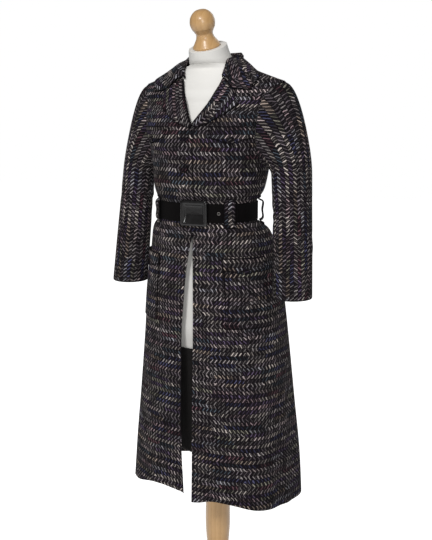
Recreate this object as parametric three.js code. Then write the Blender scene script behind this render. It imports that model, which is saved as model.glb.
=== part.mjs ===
// Belted midi coat in coarse herringbone tweed, worn on a limbless dress form with a wooden stand.
// Millimetres, +Z up, the front faces -Y, the wearer's left is +X.
// The origin is under the middle of the base.
import * as THREE from "three";

// Driving dimensions
const CLOTH = 2.4;              // tweed wall
const SEAM = 0.3;               // gap between pieces that are sewn or laid on each other
const HEM_LEVEL = 340;          // mean height of the hem above the floor
const HEM_REACH = 640;          // above this height the rows of the skirt are level
const WAIST_Z = 1090;           // middle of the belt
const BELT_HEIGHT = 45;
const BELT_THICK = 3;
const UNDERARM_Z = 1198;
const SHOULDER_Z = 1392;        // shoulder point, where the sleeve head starts
const NECK_Z = 1444;            // neckline at the back and sides
const CUFF_Z = 889;
const ARMHOLE_FRONT = 25.5;     // degrees that the armhole reaches forward of the side
const ARMHOLE_BACK = 24;
const ARM_STEPS = 20;           // points round an armhole and a sleeve
const BUTTON_RADIUS = 10;
const FRONT_BUTTON_RADIUS = 11.5;
const BUTTON_THICK = 5.5;
const BUCKLE_WIDTH = 68;
const BUCKLE_HEIGHT = 60;
const BUCKLE_X = 20;            // the buckle sits a little to the wearer's left
const POLE_RADIUS = 31;
const BASE_RADIUS = 195;
const BASE_HEIGHT = 26;

// Level sections of the coat: half width at the side, depth before and behind the centre,
// centre and squareness
const SECTIONS = [
  { z: 320, side: 228, front: 170, back: 162, y: -6, square: 2.6 },
  { z: 450, side: 220, front: 164, back: 156, y: -4, square: 2.55 },
  { z: 600, side: 205, front: 157, back: 150, y: -5, square: 2.5 },
  { z: 750, side: 191, front: 150, back: 144, y: -8, square: 2.4 },
  { z: 880, side: 177, front: 144, back: 138, y: -14, square: 2.35 },
  { z: 960, side: 165, front: 136, back: 128, y: -20, square: 2.3 },
  { z: 1010, side: 158, front: 130, back: 120, y: -26, square: 2.25 },
  { z: 1040, side: 150, front: 120, back: 109, y: -35, square: 2.2 },
  { z: 1058, side: 137, front: 110, back: 93, y: -46, square: 2.15 },
  { z: 1067, side: 125, front: 104, back: 82, y: -50, square: 2.15 },
  { z: 1113, side: 125, front: 104, back: 82, y: -50, square: 2.15 },
  { z: 1124, side: 132, front: 114, back: 89, y: -46, square: 2.15 },
  { z: 1142, side: 139, front: 124, back: 98, y: -40, square: 2.2 },
  { z: 1165, side: 143, front: 130, back: 103, y: -36, square: 2.2 },
  { z: 1200, side: 147, front: 136, back: 108, y: -31, square: 2.2 },
  { z: 1250, side: 158, front: 140, back: 112, y: -28, square: 2.2 },
  { z: 1300, side: 174, front: 130, back: 112, y: -24, square: 2.2 },
  { z: 1345, side: 188, front: 104, back: 104, y: -22, square: 2.1 },
  { z: 1372, side: 193, front: 88, back: 95, y: -22, square: 2.05 },
  { z: 1392, side: 191, front: 74, back: 86, y: -22, square: 2 },
  { z: 1406, side: 156, front: 66, back: 78, y: -22, square: 2 },
  { z: 1421, side: 116, front: 60, back: 70, y: -22, square: 2 },
  { z: 1436, side: 82, front: 56, back: 62, y: -22, square: 2 },
  { z: 1444, side: 64, front: 54, back: 58, y: -22, square: 2 },
];

// Soft upright folds of the skirt: place round the body, half width, depth (a hollow is negative), top
const FOLDS = [
  { deg: -158, half: 15, depth: 7, top: 940 },
  { deg: -126, half: 14, depth: -8, top: 980 },
  { deg: -97, half: 14, depth: 6, top: 900 },
  { deg: -76, half: 9, depth: -6, top: 860 },
  { deg: -34, half: 11, depth: 4, top: 760 },
  { deg: 22, half: 10, depth: -4, top: 720 },
  { deg: 55, half: 13, depth: 6, top: 760 },
  { deg: 74, half: 9, depth: -6, top: 820 },
  { deg: 98, half: 13, depth: 7, top: 900 },
  { deg: 128, half: 14, depth: -8, top: 980 },
  { deg: 158, half: 15, depth: 7, top: 940 },
];

// Height of the hem round the body
const HEM = [
  { deg: -180, z: 332 },
  { deg: -110, z: 340 },
  { deg: -54, z: 359 },
  { deg: -30, z: 381 },
  { deg: -4, z: 375 },
  { deg: 2, z: 354 },
  { deg: 30, z: 368 },
  { deg: 54, z: 355 },
  { deg: 75, z: 345 },
  { deg: 96, z: 340 },
  { deg: 180, z: 332 },
];

// Front edges, as distance from the middle: the right front laps over the left down to below the belt
const FRONT_EDGES = [
  { z: 340, right: -8, left: 15 },
  { z: 474, right: -17, left: 13 },
  { z: 620, right: -20, left: 12 },
  { z: 766, right: -20, left: 13 },
  { z: 876, right: -12, left: 14 },
  { z: 951, right: -5, left: 13 },
  { z: 1000, right: 4, left: 12.5 },
  { z: 1034, right: 11.5, left: 10 },
  { z: 1062, right: 17, left: -14 },
  { z: 1121, right: 20, left: -20 },
  { z: 1203, right: 20, left: -20 },
  { z: 1250, right: 18.5, left: -14 },
  { z: 1288, right: 14, left: 11 },
  { z: 1306, right: 3, left: 24.5 },
  { z: 1351, right: -25, left: 47.5 },
  { z: 1398, right: -49, left: 62 },
  { z: 1436, right: -66, left: 65.5 },
  { z: 1444, right: -63.5, left: 63.5 },
];

// Seams from the armhole to the hem, in degrees from the front
const SIDE_SEAMS = [
  { z: 340, front: 64.6, back: 116 },
  { z: 628, front: 69, back: 114 },
  { z: 874, front: 76, back: 110 },
  { z: 1000, front: 78, back: 107 },
  { z: 1090, front: 72, back: 107 },
  { z: 1151, front: 69, back: 110 },
  { z: 1263, front: 65.75, back: 112.8 },
];

// Sleeve: middle, half lengths of the oval section, and the turn of its long way
const SLEEVE = [
  { z: 894, x: 233, y: -60, long: 48, short: 46, turn: 45 },
  { z: 1020, x: 226, y: -48, long: 48, short: 44, turn: 50 },
  { z: 1100, x: 221, y: -41, long: 49, short: 42.5, turn: 56 },
  { z: 1180, x: 215, y: -34, long: 52, short: 42, turn: 62 },
];

// Collar from the middle of the back to its front end: neck line, fold, middle and edge of the leaf,
// each as degrees, height and distance out from the coat
const COLLAR = [
  { deg: 180, neckZ: 1445.3, foldZ: 1468, foldOut: 5,
    midDeg: 180, midZ: 1446, midOut: 14, edgeDeg: 180, edgeZ: 1426, edgeOut: 3.2 },
  { deg: 156, neckZ: 1445.3, foldZ: 1468, foldOut: 5,
    midDeg: 156, midZ: 1446, midOut: 14, edgeDeg: 155, edgeZ: 1426, edgeOut: 3.2 },
  { deg: 132, neckZ: 1445.3, foldZ: 1467, foldOut: 5,
    midDeg: 130, midZ: 1445, midOut: 14, edgeDeg: 128, edgeZ: 1427, edgeOut: 3.2 },
  { deg: 111, neckZ: 1445.3, foldZ: 1465, foldOut: 5,
    midDeg: 109, midZ: 1443, midOut: 12, edgeDeg: 106, edgeZ: 1428, edgeOut: 3.4 },
  { deg: 94, neckZ: 1445.3, foldZ: 1461, foldOut: 5,
    midDeg: 92, midZ: 1440, midOut: 9, edgeDeg: 91, edgeZ: 1427, edgeOut: 3.4 },
  { deg: 70, neckZ: 1443.5, foldZ: 1454, foldOut: 5,
    midDeg: 80, midZ: 1431, midOut: 7, edgeDeg: 82, edgeZ: 1416, edgeOut: 3.4 },
  { deg: 56, neckZ: 1434.5, foldZ: 1443, foldOut: 6,
    midDeg: 70, midZ: 1415, midOut: 7, edgeDeg: 74, edgeZ: 1400, edgeOut: 3.4 },
  { deg: 46, neckZ: 1420, foldZ: 1426, foldOut: 7,
    midDeg: 59, midZ: 1396, midOut: 5.5, edgeDeg: 67, edgeZ: 1385, edgeOut: 3.4 },
  { deg: 40, neckZ: 1404, foldZ: 1407, foldOut: 7,
    midDeg: 50, midZ: 1376, midOut: 4.5, edgeDeg: 63.5, edgeZ: 1372, edgeOut: 3.4 },
];

// Dress form body: the cloth rests on its shoulders, and it stands clear of the coat below them
const FORM = [
  { z: 742, side: 132, front: 112, back: 112, y: -12, square: 2.2 },
  { z: 800, side: 152, front: 122, back: 126, y: -12, square: 2.2 },
  { z: 880, side: 158, front: 120, back: 122, y: -14, square: 2.2 },
  { z: 960, side: 150, front: 112, back: 110, y: -20, square: 2.2 },
  { z: 1030, side: 124, front: 98, back: 84, y: -34, square: 2.15 },
  { z: 1066, side: 112, front: 90, back: 68, y: -46, square: 2.1 },
  { z: 1090, side: 108, front: 88, back: 66, y: -48, square: 2.1 },
  { z: 1150, side: 122, front: 102, back: 82, y: -40, square: 2.1 },
  { z: 1210, side: 136, front: 118, back: 92, y: -32, square: 2.1 },
  { z: 1260, side: 146, front: 127, back: 96, y: -28, square: 2.2 },
  { z: 1310, side: 156, front: 110, back: 96, y: -24, square: 2.3 },
  { z: 1345, side: 162, front: 87, back: 90, y: -22, square: 2.5 },
];
const LOWER_FORM = [
  { z: 452, side: 116, front: 100, back: 100, y: -6, square: 2.1 },
  { z: 462, side: 121, front: 105, back: 105, y: -6, square: 2.1 },
  { z: 560, side: 124, front: 108, back: 107, y: -8, square: 2.1 },
  { z: 680, side: 128, front: 110, back: 110, y: -10, square: 2.2 },
  { z: 741.4, side: 131, front: 111, back: 111, y: -12, square: 2.2 },
];
const FORM_SEAT_Z = 1395;       // from here up the form follows the inside of the coat
const SEAT_GAP = 0.8;
const SEAT_DROP = 4;            // a ring of the form's shoulders is this much below its row of the coat
const ARM_PLATE_X = 163;        // flat end of the shoulder, where an arm would start
const FORM_NECK = [
  { z: 1437, radius: 56, y: -27, tilt: 1 },
  { z: 1450, radius: 52.5, y: -38, tilt: 8 },
  { z: 1463, radius: 49, y: -46, tilt: 15 },
  { z: 1478, radius: 46.5, y: -53, tilt: 22 },
];
const NECK_CAP_TILT = 22;
const KNOB_FORWARD = 4;          // the knob stands a little before the middle of the neck's sloping top
const KNOB_DROP = 1.6;

// Turned profiles, as height and radius
const KNOB = [
  { h: 0.4, r: 32 }, { h: 4, r: 33.5 }, { h: 12, r: 28.5 }, { h: 24, r: 21.5 },
  { h: 32, r: 20 }, { h: 40, r: 23.5 }, { h: 48, r: 28 }, { h: 59, r: 30 },
  { h: 70, r: 28 }, { h: 80, r: 21.5 }, { h: 87, r: 11 },
];
const STAND = [
  { h: 0, r: 22 }, { h: 12, r: POLE_RADIUS + 14 }, { h: 26, r: POLE_RADIUS + 12 },
  { h: 40, r: POLE_RADIUS }, { h: 70, r: POLE_RADIUS - 6 }, { h: 110, r: POLE_RADIUS - 2 },
  { h: 190, r: POLE_RADIUS + 3 }, { h: 300, r: POLE_RADIUS + 1 }, { h: 384, r: POLE_RADIUS - 3 },
  { h: 394, r: POLE_RADIUS + 6 }, { h: 412, r: POLE_RADIUS + 6 }, { h: 425, r: POLE_RADIUS - 8 },
];

// Materials
const material = (color, roughness, metalness = 0) =>
  new THREE.MeshStandardMaterial({ color, roughness, metalness });
const tweed = () => material(0x3a3438, 0.92);
const velvet = () => material(0x0d0b0c, 0.85);
const jersey = () => material(0xe2dfd8, 0.8);
const blackJersey = () => material(0x100e0e, 0.8);
const wood = () => material(0xd2ab74, 0.5);
const gloss = () => material(0x0c0b0c, 0.15);

// Monotone curve through one column of a table
function column(table, name, at, key = "z") {
  const last = table.length - 1;
  if (at <= table[0][key]) return table[0][name];
  if (at >= table[last][key]) return table[last][name];
  let i = 0;
  while (table[i + 1][key] < at) i += 1;
  const slope = (k) => (table[k + 1][name] - table[k][name]) / (table[k + 1][key] - table[k][key]);
  const tangent = (k) => {
    if (k === 0) return slope(0);
    if (k === last) return slope(last - 1);
    const before = slope(k - 1);
    const after = slope(k);
    return before * after <= 0 ? 0 : (2 * before * after) / (before + after);
  };
  const step = table[i + 1][key] - table[i][key];
  const t = (at - table[i][key]) / step;
  const rest = 1 - t;
  return (1 + 2 * t) * rest * rest * table[i][name] + t * rest * rest * step * tangent(i)
    + t * t * (3 - 2 * t) * table[i + 1][name] + t * t * (t - 1) * step * tangent(i + 1);
}

const radians = THREE.MathUtils.degToRad;
const degrees = THREE.MathUtils.radToDeg;
const smooth = THREE.MathUtils.smoothstep;
const lerp = THREE.MathUtils.lerp;

// Point of a level section, at an angle from the front
function sectionPoint(table, z, deg, grow = 0) {
  const s = Math.sin(radians(deg));
  const c = Math.cos(radians(deg));
  const side = column(table, "side", z);
  const depth = column(table, c > 0 ? "front" : "back", z);
  const square = column(table, "square", z);
  const radius = (Math.abs(c / depth) ** square + Math.abs(s / side) ** square) ** (-1 / square) + grow;
  return new THREE.Vector3(radius * s, column(table, "y", z) - radius * c, z);
}

function foldDepth(z, deg) {
  let sum = 0;
  for (const fold of FOLDS) {
    const away = Math.abs(((deg - fold.deg + 540) % 360) - 180) / fold.half;
    if (away < 1) sum += fold.depth * (1 - away * away) ** 2 * (1 - smooth(z, HEM_LEVEL, fold.top));
  }
  return sum;
}

const coatPoint = (z, deg) => sectionPoint(SECTIONS, z, deg, foldDepth(z, deg));

function coatNormal(z, deg) {
  const dz = 2;
  const ddeg = 0.6;
  const up = coatPoint(z + dz, deg).sub(coatPoint(z - dz, deg));
  const round = coatPoint(z, deg + ddeg).sub(coatPoint(z, deg - ddeg));
  return round.cross(up).normalize();
}

// Outer point and normal, moved out from the coat
function onCoat(z, deg, out = 0) {
  const n = coatNormal(z, deg);
  return { p: coatPoint(z, deg).addScaledVector(n, out), n };
}

// Angle at which the front or back of the coat has a given x
function degAt(x, z) {
  let low = -90;
  let high = 90;
  for (let k = 0; k < 40; k += 1) {
    const mid = (low + high) / 2;
    if (coatPoint(z, mid).x < x) low = mid;
    else high = mid;
  }
  return (low + high) / 2;
}

// An even turn round an oval section, and back: plain angles leave the shoulder's ridge with few points
function turnAt(z, deg) {
  const depth = column(SECTIONS, Math.cos(radians(deg)) > 0 ? "front" : "back", z);
  const side = column(SECTIONS, "side", z);
  return degrees(Math.atan2(Math.sin(radians(deg)) / side, Math.cos(radians(deg)) / depth));
}

function degOfTurn(z, turn) {
  const depth = column(SECTIONS, Math.cos(radians(turn)) > 0 ? "front" : "back", z);
  const side = column(SECTIONS, "side", z);
  return degrees(Math.atan2(Math.sin(radians(turn)) * side, Math.cos(radians(turn)) * depth));
}

const between = (z, from, to, f) => degOfTurn(z, lerp(turnAt(z, from), turnAt(z, to), f));

function armholeDeg(z, reach) {
  const half = (SHOULDER_Z - UNDERARM_Z) / 2;
  const u = (z - UNDERARM_Z - half) / half;
  return reach * Math.sqrt(Math.max(0, 1 - u * u));
}

// Closed solid from rows of outer and inner points. A round one closes on itself along each row.
function shell(outer, inner, round = false) {
  const rows = outer.length;
  const cols = outer[0].length;
  const position = [];
  for (const row of [...outer, ...inner]) {
    for (const p of row) position.push(p.x, p.y, p.z);
  }
  const at = (side, i, j) => side * rows * cols + i * cols + (j % cols);
  const index = [];
  const quad = (a, b, c, d) => index.push(a, b, c, a, c, d);
  const spans = round ? cols : cols - 1;
  for (let i = 0; i < rows - 1; i += 1) {
    for (let j = 0; j < spans; j += 1) {
      quad(at(0, i, j), at(0, i, j + 1), at(0, i + 1, j + 1), at(0, i + 1, j));
      quad(at(1, i, j), at(1, i + 1, j), at(1, i + 1, j + 1), at(1, i, j + 1));
    }
  }
  for (let j = 0; j < spans; j += 1) {
    quad(at(0, 0, j), at(1, 0, j), at(1, 0, j + 1), at(0, 0, j + 1));
    quad(at(0, rows - 1, j), at(0, rows - 1, j + 1), at(1, rows - 1, j + 1), at(1, rows - 1, j));
  }
  for (let i = 0; i < rows - 1 && !round; i += 1) {
    quad(at(0, i, 0), at(0, i + 1, 0), at(1, i + 1, 0), at(1, i, 0));
    quad(at(0, i, cols - 1), at(1, i, cols - 1), at(1, i + 1, cols - 1), at(0, i + 1, cols - 1));
  }
  return facingOut(position, index);
}

// Solid body from closed level rings, with a flat end at the bottom and top
function loft(rings) {
  const cols = rings[0].length;
  const position = [];
  for (const p of rings.flat()) position.push(p.x, p.y, p.z);
  const index = [];
  for (let i = 0; i < rings.length - 1; i += 1) {
    for (let j = 0; j < cols; j += 1) {
      const a = i * cols + j;
      const b = i * cols + ((j + 1) % cols);
      index.push(a, b, b + cols, a, b + cols, a + cols);
    }
  }
  for (const [first, flip] of [[0, true], [(rings.length - 1) * cols, false]]) {
    for (let j = 1; j < cols - 1; j += 1) {
      if (flip) index.push(first, first + j + 1, first + j);
      else index.push(first, first + j, first + j + 1);
    }
  }
  return facingOut(position, index);
}

function facingOut(position, index) {
  const p = (k) => new THREE.Vector3().fromArray(position, 3 * k);
  let volume = 0;
  for (let k = 0; k < index.length; k += 3) {
    volume += p(index[k]).dot(p(index[k + 1]).cross(p(index[k + 2])));
  }
  if (volume < 0) index.reverse();
  const geometry = new THREE.BufferGeometry();
  geometry.setAttribute("position", new THREE.Float32BufferAttribute(position, 3));
  geometry.setIndex(index);
  geometry.computeVertexNormals();
  return geometry;
}

// Cloth wall whose outer face goes through the given points
function wall(grid, thick, round = false) {
  const inner = grid.map((row) => row.map(({ p, n }) => p.clone().addScaledVector(n, -thick)));
  return shell(grid.map((row) => row.map(({ p }) => p)), inner, round);
}

// Normals of a grid of middle points, then a wall of the given thickness about it
function wallAbout(points, thick, round = false) {
  const rows = points.length;
  const cols = points[0].length;
  const pick = (i, j) => points[i][round ? (j + cols) % cols : THREE.MathUtils.clamp(j, 0, cols - 1)];
  const side = (sign) => points.map((row, i) => row.map((p, j) => {
    const along = points[Math.min(i + 1, rows - 1)][j].clone().sub(points[Math.max(i - 1, 0)][j]);
    const across = pick(i, j + 1).clone().sub(pick(i, j - 1));
    return p.clone().addScaledVector(across.cross(along).normalize(), (sign * thick) / 2);
  }));
  return shell(side(1), side(-1), round);
}

const group = new THREE.Group();
function add(name, geometry, finish) {
  const mesh = new THREE.Mesh(geometry, finish);
  mesh.name = name;
  group.add(mesh);
  return mesh;
}

const range = (count) => Array.from({ length: count + 1 }, (_, k) => k / count);

// Heights of the rows: the armhole's own steps are among them, so that the sleeve meets each row
const SKIRT_ROWS = [340, 420, 520, 620, 720, 810, 880, 935, 975, 1005, 1028, 1045, 1058, 1067];
const BODICE_ROWS = [1090, 1113, 1124, 1135, 1150, 1172];
const armZ = (k) => (SHOULDER_Z + UNDERARM_Z) / 2
  + ((SHOULDER_Z - UNDERARM_Z) / 2) * Math.cos((2 * Math.PI * k) / ARM_STEPS);
const armTurn = (k) => (2 * Math.PI * k) / ARM_STEPS;
const armDeg = (k) => 90 - Math.sin(armTurn(k)) * (k < ARM_STEPS / 2 ? ARMHOLE_FRONT : ARMHOLE_BACK);
const ARM_ROWS = Array.from({ length: ARM_STEPS / 2 + 1 }, (_, k) => armZ(ARM_STEPS / 2 - k));
const SHOULDER_ROWS = [1399, 1409, 1420, 1432, NECK_Z];
const PANEL_ROWS = [...SKIRT_ROWS, ...BODICE_ROWS, ...ARM_ROWS, ...SHOULDER_ROWS];

// The lowest rows follow the hem round the body
function levelAt(z, deg) {
  const share = THREE.MathUtils.clamp((HEM_REACH - z) / (HEM_REACH - HEM_LEVEL), 0, 1);
  return z + (column(HEM, "z", deg, "deg") - HEM_LEVEL) * share;
}

// Edge of a panel at the side: the seam, then the armhole, then the shoulder seam
function sideEdge(z, which) {
  const seamTop = SIDE_SEAMS[SIDE_SEAMS.length - 1].z;
  if (z <= seamTop) return column(SIDE_SEAMS, which, z);
  const reach = which === "front" ? -ARMHOLE_FRONT : ARMHOLE_BACK;
  if (z >= SHOULDER_Z) return 90;
  return 90 + armholeDeg(z, Math.abs(reach)) * Math.sign(reach);
}

const FRONT_SEAM_DEG = 75;      // about where the side seams run
const BACK_SEAM_DEG = 110;

// A length along a level section, as degrees
const asDegrees = (length, z, deg) => degrees(length / coatPoint(z, deg).setZ(0).length());
const halfSeam = (z, deg) => asDegrees(SEAM / 2, z, deg);

const FRONT_COLUMNS = [0, 0.06, 0.16, 0.3, 0.46, 0.62, 0.8, 1];

// How far the left front lies in under the right front: between the opening and the V of the neck
function underlap(x, z) {
  const edge = column(FRONT_EDGES, "right", z);
  const across = 1 - smooth(x, edge + 5, edge + 30);
  const down = smooth(z, 985, 1022);
  const up = 1 - smooth(z, 1306, 1340);
  return -(CLOTH + 3 * SEAM) * across * down * up;
}

function frontPanel(side) {
  const mirror = side === "left" ? 1 : -1;
  const rows = PANEL_ROWS.map((z) => {
    const inner = degAt(column(FRONT_EDGES, side, z), z);
    const outer = mirror * (sideEdge(z, "front") - halfSeam(z, FRONT_SEAM_DEG));
    return FRONT_COLUMNS.map((f) => {
      const deg = between(z, inner, outer, f);
      const level = levelAt(z, deg);
      const under = side === "left" ? underlap(coatPoint(level, deg).x, z) : 0;
      return onCoat(level, deg, under);
    });
  });
  add(`front_${side}`, wall(rows, CLOTH), tweed());
}

function sidePanel(side) {
  const mirror = side === "left" ? 1 : -1;
  const last = 8;
  const low = (ARM_STEPS - last) / 2;
  const steps = Array.from({ length: last + 1 }, (_, k) => low + k);
  const place = (z, f) => {
    const from = sideEdge(z, "front") + halfSeam(z, FRONT_SEAM_DEG);
    const to = sideEdge(z, "back") - halfSeam(z, BACK_SEAM_DEG);
    const deg = mirror * lerp(from, to, f);
    return onCoat(levelAt(z, deg), deg);
  };
  const rows = [...SKIRT_ROWS, ...BODICE_ROWS].map((z) => steps.map((_, k) => place(z, k / last)));
  const start = BODICE_ROWS[BODICE_ROWS.length - 1];
  for (const share of [0.35, 0.7, 1]) {
    rows.push(steps.map((k, j) => {
      const top = armZ(k);
      const z = lerp(start, top, share);
      const even = lerp(sideEdge(z, "front"), sideEdge(z, "back"), j / last);
      let deg = lerp(even, armDeg(k), share * share);
      if (j === 0) deg = sideEdge(z, "front") + halfSeam(z, FRONT_SEAM_DEG);
      if (j === last) deg = sideEdge(z, "back") - halfSeam(z, BACK_SEAM_DEG);
      return onCoat(z, mirror * deg);
    }));
  }
  add(`side_${side}`, wall(rows, CLOTH), tweed());
}

function backPanel() {
  const rows = PANEL_ROWS.map((z) => {
    const edge = sideEdge(z, "back") + halfSeam(z, BACK_SEAM_DEG);
    return range(12).map((f) => {
      const turn = lerp(turnAt(z, edge), 360 - turnAt(z, edge), f);
      const deg = degOfTurn(z, turn);
      return onCoat(levelAt(z, deg), deg);
    });
  });
  add("back", wall(rows, CLOTH), tweed());
}

// Sleeve: from the armhole's edge over the head and down to the open cuff
function sleeveRing(z, mirror) {
  const pick = (name) => column(SLEEVE, name, z);
  const turn = radians(pick("turn"));
  return Array.from({ length: ARM_STEPS }, (_, k) => {
    const a = armTurn(k);
    const away = Math.atan2(-Math.sin(a), Math.cos(a)) - turn;
    const radius = (pick("long") * pick("short"))
      / Math.hypot(pick("short") * Math.cos(away), pick("long") * Math.sin(away));
    const x = pick("x") + radius * Math.cos(a);
    return new THREE.Vector3(mirror * x, pick("y") - radius * Math.sin(a), z);
  });
}

const HEAD_OUT = 0.16;          // how far the sleeve head runs on outward, as a share of its length
const HEAD_DOWN = 0.36;

function sleeve(side) {
  const mirror = side === "left" ? 1 : -1;
  const joinZ = SLEEVE[SLEEVE.length - 1].z;
  const lower = sleeveRing(joinZ, mirror);
  const below = sleeveRing(joinZ - 30, mirror);
  const heads = lower.map((to, k) => {
    const up = Math.cos(armTurn(k));
    const leave = new THREE.Vector3(mirror * (0.75 + 0.2 * up), 0, -0.62 + 0.25 * up).normalize();
    const from = onCoat(armZ(k), mirror * armDeg(k)).p.addScaledVector(leave, 1.5 * SEAM);
    const span = from.distanceTo(to);
    const arrive = below[k].clone().sub(to).normalize();
    const curve = new THREE.CubicBezierCurve3(
      from,
      from.clone().addScaledVector(leave, span * HEAD_OUT),
      to.clone().addScaledVector(arrive, -span * HEAD_DOWN),
      to,
    );
    return [0, 0.1, 0.24, 0.42, 0.62, 0.82].map((t) => curve.getPoint(t));
  });
  const rings = heads[0].map((_, i) => heads.map((line) => line[i]));
  for (const z of [joinZ, 1130, 1070, 1010, 950, CUFF_Z]) rings.push(sleeveRing(z, mirror));
  const middle = rings.map((ring, i) => ring.map((p, k) => {
    const next = ring[(k + 1) % ARM_STEPS].clone().sub(ring[(k + ARM_STEPS - 1) % ARM_STEPS]);
    const down = rings[Math.min(i + 1, rings.length - 1)][k].clone().sub(rings[Math.max(i - 1, 0)][k]);
    return { p, n: next.cross(down).multiplyScalar(mirror).normalize() };
  }));
  add(`sleeve_${side}`, wall(middle, CLOTH, true), tweed());
}

// Lapel: turned back at the front edge, its tip beside the notch of the collar
const LAPEL_ROLL = [
  { away: -2.1, share: 0, out: -1.2 },
  { away: -3.4, share: 0, out: 1.8 },
  { away: -1, share: 0, out: 4.6 },
  { away: 0, share: 0.1, out: 5.4 },
  { away: 0, share: 0.28, out: 5.6 },
  { away: 0, share: 0.5, out: 5.6 },
  { away: 0, share: 0.75, out: 5 },
  { away: 0, share: 1, out: 4 },
];
const LAPEL_STEPS = [0, 0.14, 0.26, 0.38, 0.5, 0.6, 0.7, 0.78, 0.86, 0.93, 1];
const LAPEL_BEND = 0.7;         // share of the steps that lie below the tip
const LAPEL_START = { left: { rollZ: 1297, x: 20, z: 1287.5 }, right: { rollZ: 1290.5, x: 11, z: 1286 } };
const LAPEL_TIP = { left: { x: 112, z: 1341 }, right: { x: 88, z: 1337 } };
const LAPEL_BELLY = { left: 11, right: 8 };
const NOTCH = { left: 91, right: 92, z: 1372 };
const GORGE = { z: 1400.5 };

function lapelEdge(side, mirror, v) {
  const tip = LAPEL_TIP[side];
  if (v < LAPEL_BEND) {
    const start = LAPEL_START[side];
    const f = v / LAPEL_BEND;
    const sag = LAPEL_BELLY[side] * 4 * f * (1 - f);
    return { x: lerp(start.x, mirror * tip.x, f), z: lerp(start.z, tip.z, f) - sag };
  }
  const f = (v - LAPEL_BEND) / (1 - LAPEL_BEND);
  return { x: lerp(mirror * tip.x, mirror * NOTCH[side], f), z: lerp(tip.z, NOTCH.z, f) };
}

function lapel(side) {
  const mirror = side === "left" ? 1 : -1;
  const rows = LAPEL_STEPS.map((v) => {
    const rollZ = lerp(LAPEL_START[side].rollZ, GORGE.z, v);
    const rollX = column(FRONT_EDGES, side, rollZ);
    const edge = lapelEdge(side, mirror, v);
    return LAPEL_ROLL.map(({ away, share, out }) => {
      const x = lerp(rollX, edge.x, share) + mirror * away;
      const z = lerp(rollZ, edge.z, share);
      return onCoat(z, degAt(x, z), out).p;
    });
  });
  add(`lapel_${side}`, wallAbout(rows, CLOTH), tweed());
}

const COLLAR_LEAD = 3.8;        // degrees that the collar's neck end lies inside the edge of the front

// Collar: a stand inside, a rolled fold and a leaf that lies on the shoulders
function collarRows(side) {
  const mirror = side === "left" ? 1 : -1;
  const rows = COLLAR.map((row) => {
    if (row.neckZ > NECK_Z) return row;
    const edge = degAt(column(FRONT_EDGES, side, row.neckZ), row.neckZ);
    return { ...row, deg: Math.abs(edge) - COLLAR_LEAD };
  });
  return rows.map((row) => [
    onCoat(row.neckZ, row.deg, -CLOTH / 2).p,
    onCoat(lerp(row.neckZ, row.foldZ, 0.65), row.deg, -CLOTH / 2 + 0.6).p,
    onCoat(row.foldZ, row.deg + 0.6, row.foldOut * 0.5).p,
    onCoat(lerp(row.foldZ, row.midZ, 0.25), lerp(row.deg, row.midDeg, 0.3), row.foldOut + 3).p,
    onCoat(row.midZ, row.midDeg, row.midOut).p,
    onCoat(
      lerp(row.midZ, row.edgeZ, 0.55),
      lerp(row.midDeg, row.edgeDeg, 0.55),
      lerp(row.midOut, row.edgeOut, 0.5),
    ).p,
    onCoat(row.edgeZ, row.edgeDeg, row.edgeOut).p,
  ].map((p) => p.setX(mirror * p.x)));
}

function collar() {
  const rows = [...collarRows("right").slice(1).reverse(), ...collarRows("left")];
  add("collar", wallAbout(rows, CLOTH), tweed());
}

// A piece laid on the coat between two angles, whose edges are given by functions of the way across
function laidPiece(name, from, to, topZ, bottomZ, out, across, down) {
  const rows = range(down).map((v) => range(across).map((f) => {
    const deg = lerp(from, to, f);
    return onCoat(lerp(bottomZ(f), topZ(f), v), deg, out + CLOTH);
  }));
  return add(name, wall(rows, CLOTH), tweed());
}

const pointed = (corner, point) => (f) => lerp(corner, point, 1 - Math.abs(2 * f - 1));

// Outline of a covered button, as shares of its radius and thickness
const BUTTON = [
  { r: 0, h: 0 }, { r: 0.72, h: 0 }, { r: 1, h: 0.4 },
  { r: 0.86, h: 0.78 }, { r: 0.5, h: 0.97 }, { r: 0, h: 1 },
];

// Domed button that lies on the coat
function button(name, z, deg, out, radius, finish) {
  const { p, n } = onCoat(z, deg, out);
  const profile = BUTTON.map(({ r, h }) => new THREE.Vector2(radius * r, BUTTON_THICK * h));
  const mesh = add(name, new THREE.LatheGeometry(profile, 12), finish);
  mesh.position.copy(p);
  mesh.quaternion.setFromUnitVectors(new THREE.Vector3(0, 1, 0), n);
}

const ON_COAT = SEAM;
const ON_PIECE = 2 * SEAM + CLOTH;
const BUTTON_SINK = 0.25;       // a flat button back needs a little room over the round of the body

const CHEST_FLAP = { from: 23.5, to: 63, top: 1291, corner: 1266, point: 1250, button: 1259 };
const HIP_POCKET = { from: 36, to: 74, top: 978, bottom: 812 };
const HIP_FLAP = { from: 35, to: 75, top: 985, corner: 956, point: 944, button: 954 };

function flap(name, buttonName, mirror, shape, out, across) {
  const from = mirror * shape.from;
  const to = mirror * shape.to;
  laidPiece(name, from, to, () => shape.top, pointed(shape.corner, shape.point), out, across, 3);
  const over = out + CLOTH + SEAM + BUTTON_SINK;
  button(buttonName, shape.button, (from + to) / 2, over, BUTTON_RADIUS, tweed());
}

function flapsAndPockets(side) {
  const mirror = side === "left" ? 1 : -1;
  const pocketTop = () => HIP_POCKET.top;
  const pocketBottom = () => HIP_POCKET.bottom;
  flap(`chest_flap_${side}`, `chest_button_${side}`, mirror, CHEST_FLAP, ON_COAT, 8);
  const [from, to] = [mirror * HIP_POCKET.from, mirror * HIP_POCKET.to];
  laidPiece(`pocket_${side}`, from, to, pocketTop, pocketBottom, ON_COAT, 9, 8);
  flap(`pocket_flap_${side}`, `pocket_button_${side}`, mirror, HIP_FLAP, ON_PIECE, 10);
}

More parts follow.
